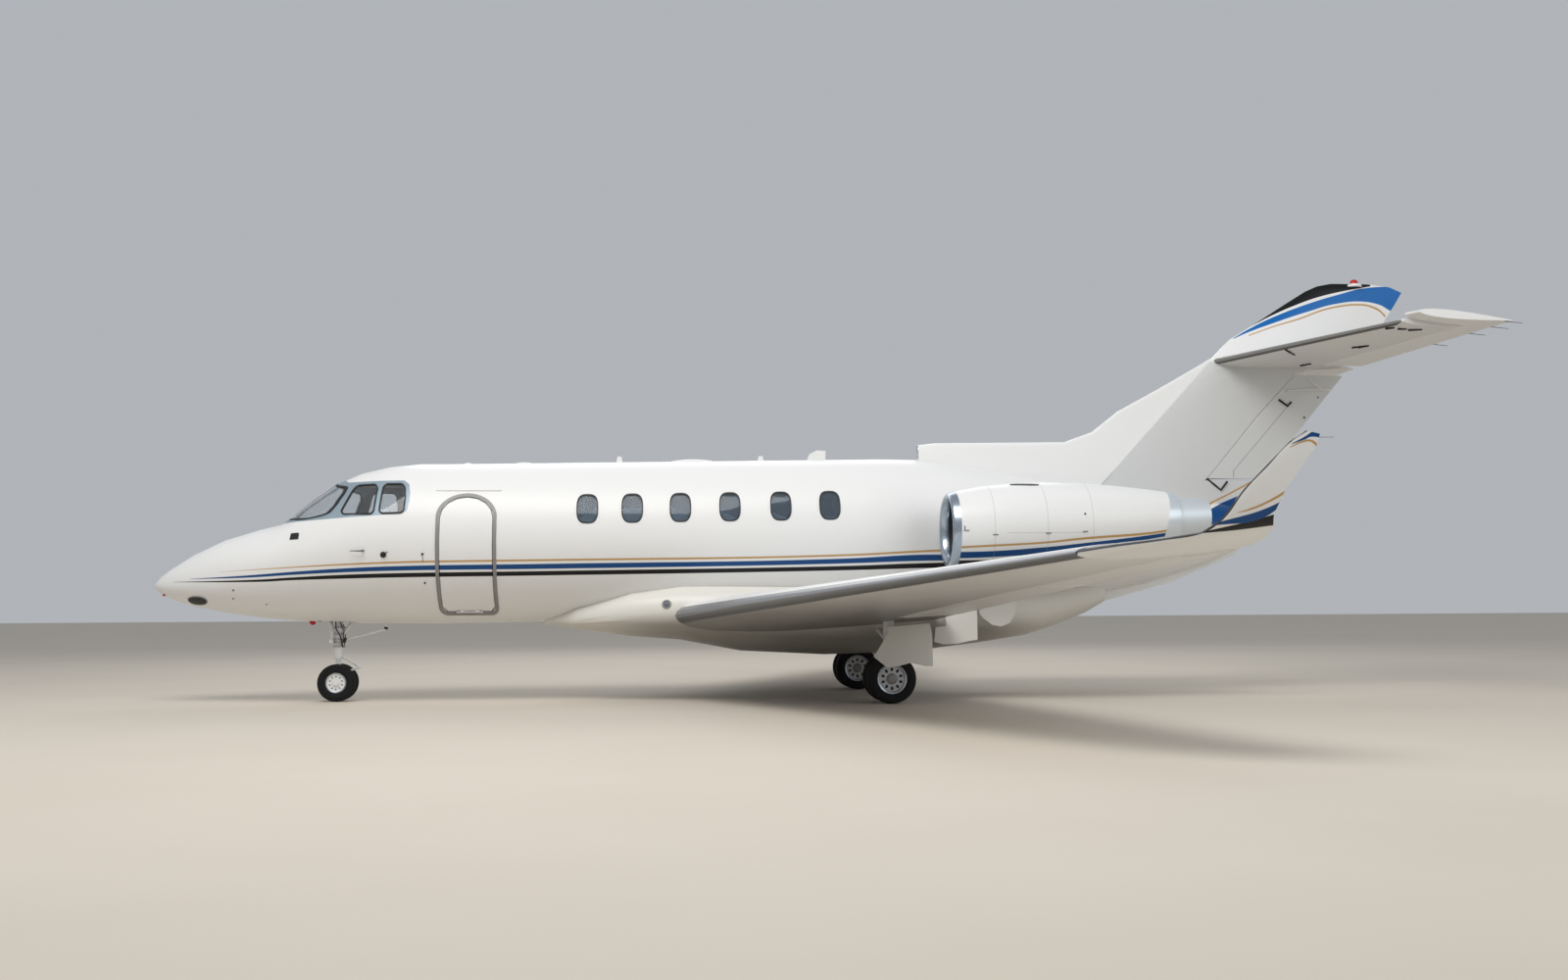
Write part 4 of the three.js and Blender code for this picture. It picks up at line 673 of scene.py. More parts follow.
class Shape:
    """Points and faces that several parts of one piece add to."""

    def __init__(self):
        self.points = []
        self.faces = []

    def rings(self, rings, closed=False):
        """Skin over rings with the same number of points."""
        start = len(self.points)
        count = len(rings[0])
        self.points += [p for ring in rings for p in ring]
        last = len(rings) if closed else len(rings) - 1
        for r in range(last):
            near, far = start + r * count, start + (r + 1) % len(rings) * count
            for i in range(count):
                after = (i + 1) % count
                self.faces.append((near + i, near + after, far + after, far + i))
        if not closed:
            self.faces.append(tuple(start + i for i in reversed(range(count))))
            self.faces.append(tuple(start + (len(rings) - 1) * count + i for i in range(count)))

    def tube(self, path, radii, sides=10):
        """A round bar along a path of points, with one radius or one for each point."""
        path = [Vector(p) for p in path]
        radii = radii if isinstance(radii, (list, tuple)) else [radii] * len(path)
        rings = []
        across = (path[1] - path[0]).orthogonal().normalized()
        for i, point in enumerate(path):
            along = (path[min(i + 1, len(path) - 1)] - path[max(i - 1, 0)]).normalized()
            across = (across - along * across.dot(along)).normalized()
            other = along.cross(across)
            rings.append(circle(point, radii[i], across, other, sides))
        self.rings(rings)

    def lathe(self, profile, centre, axis, sides=32, closed=False):
        """A profile of (distance along, radius) points turned about an axis; a closed one makes a ring."""
        axis = Vector(axis).normalized()
        across = axis.orthogonal().normalized()
        other = axis.cross(across)
        self.rings([
            circle(Vector(centre) + axis * along, max(radius, SMALLEST), across, other, sides)
            for along, radius in profile
        ], closed)

    def piece(self, name, material, body="airframe", soft=True):
        mesh = bpy.data.meshes.new(name)
        mesh.from_pydata([tuple(p) for p in self.points], [], self.faces)
        builder = bmesh.new()
        builder.from_mesh(mesh)
        bmesh.ops.remove_doubles(builder, verts=builder.verts, dist=SAME_POINT)
        bmesh.ops.recalc_face_normals(builder, faces=builder.faces)
        builder.to_mesh(mesh)
        builder.free()
        mesh.materials.append(material)
        if soft:
            mesh.shade_smooth()
            mesh.set_sharp_from_angle(angle=SMOOTH_ANGLE)
        piece = placed(name, mesh)
        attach(piece, body)
        slot = material.name.split(".")[0]
        return piece


def oval(station, z, half_width, half_height, power, sides=32):
    """A rounded rectangle of (station, height) points."""
    points = []
    for t in around(sides):
        along, up = swollen(math.cos(t), 2 / power), swollen(math.sin(t), 2 / power)
        points.append((station + half_width * along, z + half_height * up))
    return points


def body_band(shape, outer, inner, side, lift, depth):
    """A flat band between two outlines on the body's side, with its four faces."""
    rings = [
        [on_body(s, z, side, height) for s, z in outline]
        for outline, height in ((outer, lift), (inner, lift), (inner, -depth), (outer, -depth))
    ]
    shape.rings(rings, closed=True)


def body_pane(shape, outline, side, lift, depth, rows=6):
    """A filled pane on the body's side, made of shrinking copies of its outline."""
    middle = [sum(p[k] for p in outline) / len(outline) for k in (0, 1)]

    def ring(share, height):
        scaled = [[m + share * (p[k] - m) for k, m in enumerate(middle)] for p in outline]
        return [on_body(s, z, side, height) for s, z in scaled]

    shares = [k / rows for k in range(1, rows + 1)]
    face = [ring(share, lift) for share in shares]
    back = [ring(share, -depth) for share in reversed(shares)]
    shape.rings(face + back)


# Door: its edges, its lower corners' radius, and its arch's rise as a share of half its width
DOOR_FRONT, DOOR_REAR, DOOR_LOW, DOOR_TOP = 3.45, 4.045, 1.065, 2.38
DOOR_CORNER = 0.045
ARCH_RISE = 0.8
# The metal band round it, by its inner and outer distance, and the rain strip over it
BAND_INNER, BAND_OUTER = 0.010, 0.048
STRIP_FRONT, STRIP_LENGTH, STRIP_Z = 3.38, 0.75, 2.462
STRIP_SECTION = [(0, -0.01), (0, 0.008), (0.012, 0.008), (0.012, -0.01)]


def door_outline(grow):
    """The door's outline, moved outwards by a distance."""
    front, rear = DOOR_FRONT - grow, DOOR_REAR + grow
    low, corner = DOOR_LOW - grow, DOOR_CORNER + grow
    middle, radius = (front + rear) / 2, (rear - front) / 2
    spring = DOOR_TOP + grow - ARCH_RISE * radius
    turns = [math.pi * k / 20 for k in range(21)]
    arch = [(middle - radius * math.cos(t), spring + ARCH_RISE * radius * math.sin(t)) for t in turns]
    reach = spring - low - corner
    rear_side = [(rear, spring - k * reach / 12) for k in range(1, 12)]
    front_side = [(front, z) for _, z in reversed(rear_side)]
    turns = [math.pi * k / 12 for k in range(7)]
    round_rear = [(rear - corner * (1 - math.cos(t)), low + corner * (1 - math.sin(t))) for t in turns]
    round_front = [(front + rear - s, z) for s, z in reversed(round_rear)]
    return arch + rear_side + round_rear + round_front + front_side


band = Shape()
body_band(band, door_outline(BAND_OUTER), door_outline(BAND_INNER), side=1, lift=0.005, depth=0.012)
band.piece("door_surround", band_metal)

gutter = Shape()
gutter_path = [(STRIP_FRONT + STRIP_LENGTH * k / 12, STRIP_Z) for k in range(13)]
gutter.rings([[on_body(s, z + up, 1, lift) for up, lift in STRIP_SECTION] for s, z in gutter_path])
gutter.piece("door_rain_strip", white_paint)

# Cabin windows: stations, and the height of their middle over the cabin's axis
WINDOWS = [5.13, 5.65, 6.21, 6.79, 7.39, 7.97]
WINDOW_RISE = 0.342
# A rim's and its pane's half sizes and power; the pane lies lower by the drop, so the dark rim is thicker on
# top as a painted shadow
RIM_HALF, RIM_POWER = (0.126, 0.176), 3
PANE_HALF, PANE_POWER, SHADOW_DROP = (0.113, 0.160), 2.9, 0.003
rims, panes = Shape(), Shape()
for side in (1, -1):
    for station in WINDOWS:
        z = cabin_level(station) + WINDOW_RISE
        inner = oval(station, z - SHADOW_DROP, *PANE_HALF, PANE_POWER)
        body_band(rims, oval(station, z, *RIM_HALF, RIM_POWER), inner, side, lift=0.0015, depth=0.03)
        body_pane(panes, inner, side, lift=-0.006, depth=0.014)
rims.piece("window_rims", seal)
panes.piece("window_panes", glass)

# Blinds behind the port windows: share of the pane's height that they cover at its front and its rear
BLINDS = [(0.10, 0.62), (0.52, 0.52), (0.60, 0.12), (0.35, 0.08), (0.30, 0.04), (0.10, 0.10)]
BLIND_HALF = (0.118, 0.165)
half_width, half_height = BLIND_HALF
blinds = Shape()
for station, (front, rear) in zip(WINDOWS, BLINDS):
    low = cabin_level(station) + WINDOW_RISE - half_height
    edge = [
        (station + half_width * (2 * t - 1), low + 2 * half_height * (front + (rear - front) * t))
        for t in (k / 8 for k in range(9))
    ]
    base = [(s, low) for s, _ in reversed(edge)]
    body_pane(blinds, edge + base, side=1, lift=-0.030, depth=0.033)
blinds.piece("window_blinds", blind)


# Cockpit windows: radius of their corners, the largest share of an edge that one takes, step along edges
CORNER_RADIUS = 0.03
LARGEST = 0.45
EDGE_STEP = 0.03


def rounded(corners):
    """A closed outline through corners, with their tips rounded and long edges divided."""
    points = []
    for i, corner in enumerate(corners):
        before, middle, after = (Vector(corners[k % len(corners)]) for k in (i - 1, i, i + 1))
        reach = min(CORNER_RADIUS, (before - middle).length * LARGEST, (after - middle).length * LARGEST)
        start = middle + (before - middle).normalized() * reach
        end = middle + (after - middle).normalized() * reach
        points += [start.lerp(middle, t).lerp(middle.lerp(end, t), t) for t in (0, 0.25, 0.5, 0.75, 1)]
        following = Vector(corners[(i + 2) % len(corners)])
        reach = min(CORNER_RADIUS, (middle - after).length * LARGEST, (following - after).length * LARGEST)
        goal = after + (middle - after).normalized() * reach
        count = int((goal - end).length / EDGE_STEP)
        points += [end.lerp(goal, (k + 1) / (count + 1)) for k in range(count)]
    return points


def grown(outline, distance):
    """A closed outline moved outwards by a distance."""
    area = sum(a[0] * b[1] - b[0] * a[1] for a, b in zip(outline, outline[1:] + outline[:1]))
    turn = 1 if area > 0 else -1
    points = []
    for i, point in enumerate(outline):
        along = (Vector(outline[(i + 1) % len(outline)]) - Vector(outline[i - 1])).normalized()
        points.append(Vector(point) + Vector((along.y, -along.x)) * turn * distance)
    return points


# Stations that the windscreen lies between, and how often that space is halved to find it
SCREEN_REACH = (1.3, 2.9)
HALVINGS = 24


def ahead(y, z, side=1, lift=0.0):
    """The point of the body that is seen from ahead at this distance and height."""
    near, far = SCREEN_REACH
    for _ in range(HALVINGS):
        middle = (near + far) / 2
        if body_level(at(middle, y, z)) > 1:
            near = middle
        else:
            far = middle
    point = at(near, y, z)
    point += lift * body_normal(point)
    return Vector((point.x, side * point.y, point.z))


# Gasket: how far it reaches outside and inside the pane's outline, its lift and depth; the pane's lifts
GASKET_OUTER, GASKET_INNER, GASKET_LIFT, GASKET_DEPTH = 0.013, 0.003, 0.004, 0.02
PANE_FACE, PANE_BACK = -0.004, -0.018
# Columns: outline, how it lies on the body; the windscreen's is seen from ahead, the others' from the side
COCKPIT_PANES = [
    ([(0.038, 2.165), (0.59, 2.152), (0.672, 2.2), (0.632, 2.3), (0.53, 2.447), (0.445, 2.525),
      (0.038, 2.59)], ahead),
    ([(2.299, 2.225), (2.334, 2.196), (2.654, 2.198), (2.681, 2.228), (2.688, 2.505),
      (2.656, 2.546), (2.44, 2.54), (2.404, 2.5)], on_body),
    ([(2.752, 2.228), (2.778, 2.203), (2.998, 2.206), (3.028, 2.238), (3.03, 2.37),
      (3.014, 2.505), (2.972, 2.548), (2.792, 2.548), (2.764, 2.515)], on_body),
]
gaskets, cockpit_panes = Shape(), Shape()
for corners, place in COCKPIT_PANES:
    outline = rounded(corners)
    outer, inner = grown(outline, GASKET_OUTER), grown(outline, -GASKET_INNER)
    centre = sum((Vector(p) for p in inner), Vector((0, 0))) / len(inner)
    for side in (1, -1):
        faces = [[place(*p, side, GASKET_LIFT) for p in ring] for ring in (outer, inner)]
        backs = [[place(*p, side, -GASKET_DEPTH) for p in ring] for ring in (inner, outer)]
        gaskets.rings(faces + backs, closed=True)
        shrunk = [[centre.lerp(p, share) for p in inner] for share in (0.02, 0.25, 0.5, 0.75, 1)]
        faces = [[place(*p, side, PANE_FACE) for p in ring] for ring in shrunk]
        backs = [[place(*p, side, PANE_BACK) for p in ring] for ring in reversed(shrunk)]
        cockpit_panes.rings(faces + backs)
gaskets.piece("cockpit_gaskets", seal)
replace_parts(cockpit_panes.piece("cockpit_panes", clear_glass), "cockpit_glass")

# Glareshield: its (station, height) rows, its (share of half width, rise) section, its gap to the body
HOOD_ROWS = [(1.76, 2.02), (1.84, 2.075), (1.95, 2.10), (2.06, 2.105), (2.14, 2.09)]
HOOD_SECTION = [
    (-1, -0.06), (-0.9, -0.02), (-0.4, 0.0), (0.4, 0.0), (0.9, -0.02), (1, -0.06), (0.4, -0.05),
    (-0.4, -0.05),
]
HOOD_GAP = 0.13
hood = Shape()
hood.rings([
    [at(s, (on_body(s, z).y - HOOD_GAP) * share, z + rise) for share, rise in HOOD_SECTION]
    for s, z in HOOD_ROWS
])
hood.piece("glareshield", trim)


# Seats: how much lower the rim of a cushion is than its middle, as a share, and the power of its flat faces
CROWN = 0.14
FLATNESS = 0.7


def pillow(centre, half, square=0.42, sides=20, rows=12):
    """A crowned closed pad with rounded edges."""
    rings = []
    for r in range(1, rows):
        up = math.pi * r / rows - math.pi / 2
        ring = []
        flat = abs(math.cos(up)) ** square
        for turn in around(sides):
            x = half[0] * flat * swollen(math.cos(turn), square)
            y = half[1] * flat * swollen(math.sin(turn), square)
            z = half[2] * swollen(math.sin(up), FLATNESS)
            z *= 1 - CROWN + CROWN * (1 - (x / half[0]) ** 2) * (1 - (y / half[1]) ** 2)
            ring.append(centre + Vector((x, y, z)))
        rings.append(ring)
    return rings


# Height of the floor, then the seats' columns: station, distance to port, 1 where it faces the nose
CABIN_FLOOR = 1.325
SEATS = [(s, y, facing) for s, facing in ((4.5, -1), (5.9, 1), (6.9, 1), (7.9, 1)) for y in (0.43, -0.43)]
PILOTS = [(2.85, 0.34, 1), (2.85, -0.34, 1)]
# The pedestal's (height, share of its base), and the arms' (distance ahead, top)
PEDESTAL = ((0.001, 1.0), (0.03, 1.0), (0.05, 0.72), (0.20, 0.72), (0.25, 1.2))
PEDESTAL_FOOT = [(-0.14, -0.15), (0.14, -0.15), (0.14, 0.15), (-0.14, 0.15)]
ARM_ROWS = ((-0.22, 0.50), (-0.10, 0.55), (0.10, 0.56), (0.20, 0.52))
ARM_Y, ARM_HALF, ARM_LOW = 0.235, 0.02, 0.26
# Cushions: half sizes, distance ahead of the foot, height
SEAT_HALF, SEAT_AHEAD, SEAT_Z = (0.235, 0.212, 0.085), 0.02, 0.34
BACK_HALF, BACK_AHEAD, BACK_Z = (0.06, 0.222, 0.32), -0.245, 0.68
for group, places in (("cabin", SEATS), ("pilot", PILOTS)):
    frames = Shape()
    for i, (station, y, facing) in enumerate(places):
        foot = at(station, y, CABIN_FLOOR)
        frames.rings([
            [foot + Vector((along * share, across * share, z)) for along, across in PEDESTAL_FOOT]
            for z, share in PEDESTAL
        ])
        for inner in (-ARM_Y - ARM_HALF, ARM_Y - ARM_HALF):
            outer = inner + 2 * ARM_HALF
            frames.rings([
                [foot + Vector((along, *corner)) for corner in (
                    (inner, ARM_LOW), (outer, ARM_LOW), (outer, top), (inner, top))]
                for along, top in ARM_ROWS
            ])
        seat_pad, back_pad = Shape(), Shape()
        seat_pad.rings(pillow(foot + Vector((SEAT_AHEAD * facing, 0, SEAT_Z)), SEAT_HALF))
        back_pad.rings(pillow(foot + Vector((BACK_AHEAD * facing, 0, BACK_Z)), BACK_HALF, square=0.5))
        seat_pad.piece(f"{group}_seat_cushion_{i + 1}", leather)
        back_pad.piece(f"{group}_back_cushion_{i + 1}", leather)
    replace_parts(frames.piece(f"{group}_seat_frames", trim, soft=False), f"{group}_seats")


# Engine cowls; columns: station, radius, height of the axis
COWL_ROWS = [
    (9.35, 0.447, 1.966), (9.65, 0.5, 1.97), (10.0, 0.524, 1.98), (10.4, 0.528, 1.993), (10.9, 0.5, 2.01),
    (11.4, 0.432, 2.035), (11.75, 0.365, 2.062), (11.94, 0.318, 2.08),
]
# Lip, from its inner to its outer edge: distance ahead of the intake, radius
LIP_CORNERS = [
    (0.0, 0.339), (0.04, 0.345), (0.07, 0.359), (0.089, 0.380), (0.093, 0.398), (0.083, 0.416),
    (0.05, 0.433), (0.0, 0.446),
]
# Slot: rows of station, angles; a thin mark: stations, angles; latches and a drain: station, angle
COWL_SLOT = [(9.98, (76, 71)), (10.06, (76, 69.5)), (10.22, (72, 66)), (10.30, (69, 65.5))]
COWL_MARK = ((9.375, 9.385), (-3, 3))
COWL_LATCHES = [(9.40, -3.0), (9.72, -9.0), (10.32, -9.0), (10.75, -9.0)]
COWL_DRAIN = (10.753, 13.5)
LATCH_HALF, LATCH_ANGLES = 0.03, (-1.2, 0.4)
DRAIN_PROFILE = [(-0.006, 0.011), (0.003, 0.011), (0.004, 0.009)]


def on_cowl(station, angle, side, lift=0.0):
    """The point of a cowl at a station and an angle, from outboard up over its top."""
    after = next((k for k, row in enumerate(COWL_ROWS) if row[0] > station), len(COWL_ROWS) - 1)
    a, b = COWL_ROWS[after - 1], COWL_ROWS[after]
    share = (station - a[0]) / (b[0] - a[0])
    radius, z = (a[k] + (b[k] - a[k]) * share for k in (1, 2))
    out = (radius + lift) * math.cos(math.radians(angle))
    up = (radius + lift) * math.sin(math.radians(angle))
    return at(station, side * (ENGINE_Y + out), z + up)


def refined(points, steps=4):
    """A smooth open curve through points."""
    curve = []
    ends = [points[0], *points, points[-1]]
    for p0, p1, p2, p3 in zip(ends, ends[1:], ends[2:], ends[3:]):
        for k in range(steps):
            t = k / steps
            weights = (
                -t + 2 * t * t - t**3, 2 - 5 * t * t + 3 * t**3, t + 4 * t * t - 3 * t**3, t**3 - t * t,
            )
            curve.append(tuple(
                sum(w * p[i] for w, p in zip(weights, (p0, p1, p2, p3))) / 2 for i in (0, 1)
            ))
    return curve + [points[-1]]


def cowl_plate(shape, rows, side, lift, depth):
    """A thin plate on a cowl, by its rows of station and angles."""
    shape.rings([
        [on_cowl(s, a, side, lift) for a in angles] + [on_cowl(s, a, side, -depth) for a in reversed(angles)]
        for s, angles in rows
    ])


def cowl_patch(shape, stations, angles, side, lift, depth):
    """A plate on a cowl between two stations and two angles."""
    turns = [angles[0] + (angles[1] - angles[0]) * k / 6 for k in range(7)]
    rows = [(stations[0] + (stations[1] - stations[0]) * k / 4, turns) for k in range(5)]
    cowl_plate(shape, rows, side, lift, depth)


for side, label in ((1, "left"), (-1, "right")):
    lip = Shape()
    intake = at(INTAKE_S, side * ENGINE_Y, INTAKE_Z)
    lip.lathe(refined(LIP_CORNERS), intake, (1, 0, 0), sides=72, closed=True)
    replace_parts(lip.piece(f"intake_ring_{label}", polished), f"intake_lip_{label}")
slots, latches = Shape(), Shape()
for side in (1, -1):
    cowl_plate(slots, COWL_SLOT, side, lift=0.003, depth=0.012)
    cowl_patch(slots, *COWL_MARK, side, lift=0.001, depth=0.004)
    for station, angle in COWL_LATCHES:
        stations, angles = (station - LATCH_HALF, station + LATCH_HALF), [angle + a for a in LATCH_ANGLES]
        cowl_patch(latches, stations, angles, side, lift=0.002, depth=0.004)
    slots.lathe(DRAIN_PROFILE, on_cowl(*COWL_DRAIN, side), (0, side, 0.23), sides=20)
slots.piece("cowl_slots", mark)
latches.piece("cowl_latches", band_metal)

# Tyres: share of the half width, share of the height over the rim, from the bead to the middle of the tread
TYRE_SIDE = [
    (0.80, 0.0), (0.90, 0.10), (0.98, 0.27), (1.0, 0.45), (0.975, 0.64), (0.90, 0.80), (0.80, 0.90),
    (0.68, 0.96), (0.55, 0.985), (0.54, 0.94), (0.48, 0.94), (0.47, 0.992), (0.22, 1.0), (0.21, 0.95),
    (0.15, 0.95), (0.14, 1.0),
]
# Rim, painted shadow inside behind the holes, cap and bolt: shares of the half width that is dressed and of
# the rim's radius
HALF_FACE = 0.42
RIM_SECTION = [(0.5, 0.84), (1.02, 0.87), (1.07, 0.90), (1.07, 0.97), (1.0, 0.998), (0.5, 0.90)]
HOLE_SHADOW_SECTION = [(0.46, 0.40), (0.52, 0.40), (0.52, 0.80), (0.46, 0.80)]
CAP_PROFILE = [(0.5, 0.34), (0.93, 0.34), (1.0, 0.31), (1.1, 0.20), (1.12, 0.08)]
BOLT_PROFILE = [(1.0, 0.035), (1.12, 0.035)]
# Pierced disc: place and thickness as shares of that half width, its edges as shares of the rim's radius
DISC_OUT, DISC_THICK, DISC_EDGES = 0.62, 0.12, (0.36, 0.86)
# Its holes' number, and their half width and half height on the nose wheels and the main wheels
HOLES, NOSE_HOLE, MAIN_HOLE = 10, (0.009, 0.009), (0.016, 0.022)
BOLTS, BOLT_CIRCLE = 8, 0.27


def round_tyre(name, centre, radius, rim, width, node, body):
    """A round grooved tyre in the place of a plain one."""
    half = [(across * width / 2, rim + up * (radius - rim)) for across, up in TYRE_SIDE]
    section = half + [(-across, up) for across, up in reversed(half)]
    ring = Shape()
    ring.lathe(section, centre, (0, 1, 0), sides=64, closed=True)
    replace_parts(ring.piece(name, tyre, body), node)


def pierced_disc(shape, centre, out, radii, thick, hole):
    """A flat ring across an axle with a circle of oval holes, by their half width and half height."""
    low, high = radii
    middle, reach = (low + high) / 2, (high - low) / 2
    half_turn = math.pi / HOLES
    square = [(-1 + k / 3, -1) for k in range(6)] + [(1, -1 + k / 3) for k in range(6)]
    square += [(1 - k / 3, 1) for k in range(6)] + [(-1, 1 - k / 3) for k in range(6)]

    def place(turn, radius, lift):
        return centre + Vector((radius * math.sin(turn), out * lift, radius * math.cos(turn)))

    for turn in around(HOLES):
        edge = [(turn + u * half_turn, middle + v * reach) for u, v in square]
        oval_edge = []
        for u, v in square:
            angle = math.atan2(v, u)
            oval_edge.append((turn + hole[0] / middle * math.cos(angle), middle + hole[1] * math.sin(angle)))
        start = len(shape.points)
        for loop, lift in ((edge, thick), (oval_edge, thick), (oval_edge, 0), (edge, 0)):
            shape.points += [place(*p, lift) for p in loop]
        n = len(square)
        for k in range(n):
            after = (k + 1) % n
            for a in (start, start + n, start + 2 * n):
                shape.faces.append((a + k, a + after, a + n + after, a + n + k))
            if square[k][1] == square[after][1]:
                last = start + 3 * n
                shape.faces.append((last + k, last + after, start + after, start + k))


def wheel_face(name, centre, out, rim, width, hole, material, body):
    """The dress of a wheel's outer side: rim, pierced disc, a painted shadow behind its holes, bolts and
    cap.
    """
    half, axis = HALF_FACE * width, (0, out, 0)

    def sized(profile):
        return [(half * across, rim * up) for across, up in profile]

    rim_ring, disc, dark, cap = Shape(), Shape(), Shape(), Shape()
    rim_ring.lathe(sized(RIM_SECTION), centre, axis, sides=56, closed=True)
    rim_ring.piece(f"{name}_rim", polished, body)
    face = centre + Vector((0, out * half * DISC_OUT, 0))
    pierced_disc(disc, face, out, [rim * share for share in DISC_EDGES], half * DISC_THICK, hole)
    disc.piece(f"{name}_disc", material, body)
    # A black ring on the floor of the recess behind the holes: painted shadow
    dark.lathe(sized(HOLE_SHADOW_SECTION), centre, axis, sides=40, closed=True)
    dark.piece(f"{name}_inside", mark, body)
    cap.lathe(sized(CAP_PROFILE), centre, axis, sides=32)
    reach = rim * BOLT_CIRCLE
    for turn in around(BOLTS):
        bolt = centre + Vector((reach * math.sin(turn), 0, reach * math.cos(turn)))
        cap.lathe(sized(BOLT_PROFILE), bolt, axis, sides=6)
    cap.piece(f"{name}_cap", band_metal if material is hub_metal else material, body)


station, _, radius, rim, width, spread = NOSE_WHEEL
for side, label in ((1, "left"), (-1, "right")):
    name, body = f"nose_wheel_{label}", "nose_wheels"
    centre = at(station, side * spread, radius)
    round_tyre(f"nose_wheel_tyre_{label}", centre, radius, rim, width, f"nose_tyre_{label}", body)
    wheel_face(name, centre, side, rim, width, NOSE_HOLE, white_paint, body)
station, leg, radius, rim, width, spread = MAIN_WHEEL
for side, label, body in ((1, "left", "main_wheels_port"), (-1, "right", "main_wheels_starboard")):
    for out, which in ((1, "outer"), (-1, "inner")):
        centre = at(station, side * (leg + out * spread), radius)
        name = f"main_wheel_{which}_{label}"
        round_tyre(f"{name}_tyre", centre, radius, rim, width, f"main_tyre_{which}_{label}", body)
        wheel_face(name, centre, side * out, rim, width, MAIN_HOLE, hub_metal, body)

# Nose leg fittings; columns of a collar: height, radius, half height
COLLARS = [
    (0.655, 0.066, 0.012), (0.695, 0.060, 0.020), (0.735, 0.070, 0.010), (0.80, 0.056, 0.014),
    (0.88, 0.052, 0.01),
]
COLLAR_BORE, COLLAR_BEVEL = 0.040, 0.004
LEG_S = NOSE_WHEEL[0]
# Each bar on the leg: points as (distance aft of the leg, distance out, height), radii, sides
JACKS = [
    ([(-0.07, 0.03, 0.715), (-0.07, 0.105, 0.715)], [0.026, 0.024], 16),
    ([(-0.062, 0.05, 0.73), (-0.10, 0.055, 0.955)], 0.013, 12),
]
HOSES = [
    ([(-0.03, 0.062, 0.95), (-0.02, 0.075, 0.86), (0.03, 0.078, 0.78), (0.05, 0.066, 0.69),
      (0.06, 0.045, 0.64)], 0.007, 8),
    ([(0.02, 0.05, 0.94), (0.07, 0.055, 0.84), (0.06, 0.06, 0.75)], 0.006, 8),
]
# Thick ends on the port side only: (station, distance to port, height) from and to, radii
PORT_ENDS = [
    ((2.215, 0.045, 0.70), (2.235, 0.055, 0.755), [0.02, 0.016]),
    ((2.685, 0.03, 0.875), (2.72, 0.03, 0.855), [0.018, 0.016]),
]
collars, hoses, jacks = Shape(), Shape(), Shape()
for z, collar, half in COLLARS:
    bevel = collar - COLLAR_BEVEL
    section = [
        (-half, COLLAR_BORE), (-half, bevel), (-half * 0.6, collar), (half * 0.6, collar),
        (half, bevel), (half, COLLAR_BORE),
    ]
    collars.lathe(section, at(LEG_S, 0, z), (0, 0, 1), sides=32, closed=True)
for side in (1, -1):
    for shape, bars in ((jacks, JACKS), (hoses, HOSES)):
        for points, radii, sides in bars:
            shape.tube([at(LEG_S + aft, side * out, z) for aft, out, z in points], radii, sides)
for start, end, radii in PORT_ENDS:
    hoses.tube([at(*start), at(*end)], radii, sides=12)
collars.piece("nose_leg_collars", hub_metal)
jacks.piece("nose_leg_jacks", white_paint)
hoses.piece("nose_leg_hoses", mark)

# Fin beacon and nose light; columns: name, material, place, up or down, (distance along, radius) profile
LAMPS = [
    ("beacon_base", white_paint, at(14.96, 0, 5.215), 1,
     [(-0.03, 0.0), (-0.03, 0.10), (0.0, 0.09), (0.012, 0.06), (0.012, 0.0)]),
    ("beacon_lens", red_lens, at(14.96, 0, 5.227), 1,
     [(0.0, 0.0), (0.0, 0.055), (0.03, 0.05), (0.05, 0.035), (0.06, 0.0)]),
    ("belly_light", red_lens, at(1.835, 0, 0.952), -1,
     [(-0.02, 0.036), (0.010, 0.038), (0.022, 0.034), (0.038, 0.022), (0.044, 0.008)]),
]
for name, material, place, up, profile in LAMPS:
    lamp = Shape()
    lamp.lathe(profile, place, (0, 0, up))
    lamp.piece(name, material)


# Small fittings of the body's side, found from this far out
FAR_OUT = 3.0


def skin_of(name):
    """The faces of a solid, which small pieces are set on."""
    mesh = nodes[name].data
    points = [vertex.co.copy() for vertex in mesh.vertices]
    return BVHTree.FromPolygons(points, [tuple(face.vertices) for face in mesh.polygons])


def side_hit(skin, station, z, side):
    """The point and the outward direction of a skin at a station and height."""
    return skin.ray_cast(at(station, side * FAR_OUT, z), Vector((0, -side, 0)))[:2]


cockpit_skin, fairing_skin = skin_of("cockpit_shell"), skin_of("belly_fairing")
STATIC_PLATE = [(1.712, 1.902), (1.714, 1.975), (1.80, 1.983), (1.818, 1.97), (1.816, 1.908)]
PLATE_LIFTS = (0.008, -0.004)
REFUEL_CAP = (6.05, 1.13)
CAP_RIM = [(-0.014, 0.056), (0.004, 0.056), (0.007, 0.052), (0.007, 0.044), (-0.014, 0.040)]
CAP_FACE = [(-0.012, 0.041), (0.0, 0.041), (0.001, 0.016), (0.005, 0.014), (0.006, 0.004)]
# The probe's height, (station, lift) path and radii
PROBE_Z = 1.763
PROBE_PATH = [(2.59, 0), (2.585, 0.03), (2.57, 0.045), (2.45, 0.045)]
PROBE_RADII = [0.012, 0.010, 0.009, 0.005]
# Dark discs: station, height, (lift, radius) profile, sides
DISCS = [
    (2.816, 1.716, [(-0.004, 0.034), (0.003, 0.034), (0.005, 0.030)], 28),
    (3.26, 1.72, [(-0.004, 0.014), (0.004, 0.014)], 20),
    (1.417, 1.154, [(-0.004, 0.008), (0.002, 0.008)], 12),
    (1.05, 1.321, [(-0.004, 0.009), (0.002, 0.009)], 12),
    (1.033, 1.224, [(-0.004, 0.009), (0.002, 0.009)], 12),
    (3.275, 1.391, [(-0.004, 0.012), (0.002, 0.012)], 16),
]
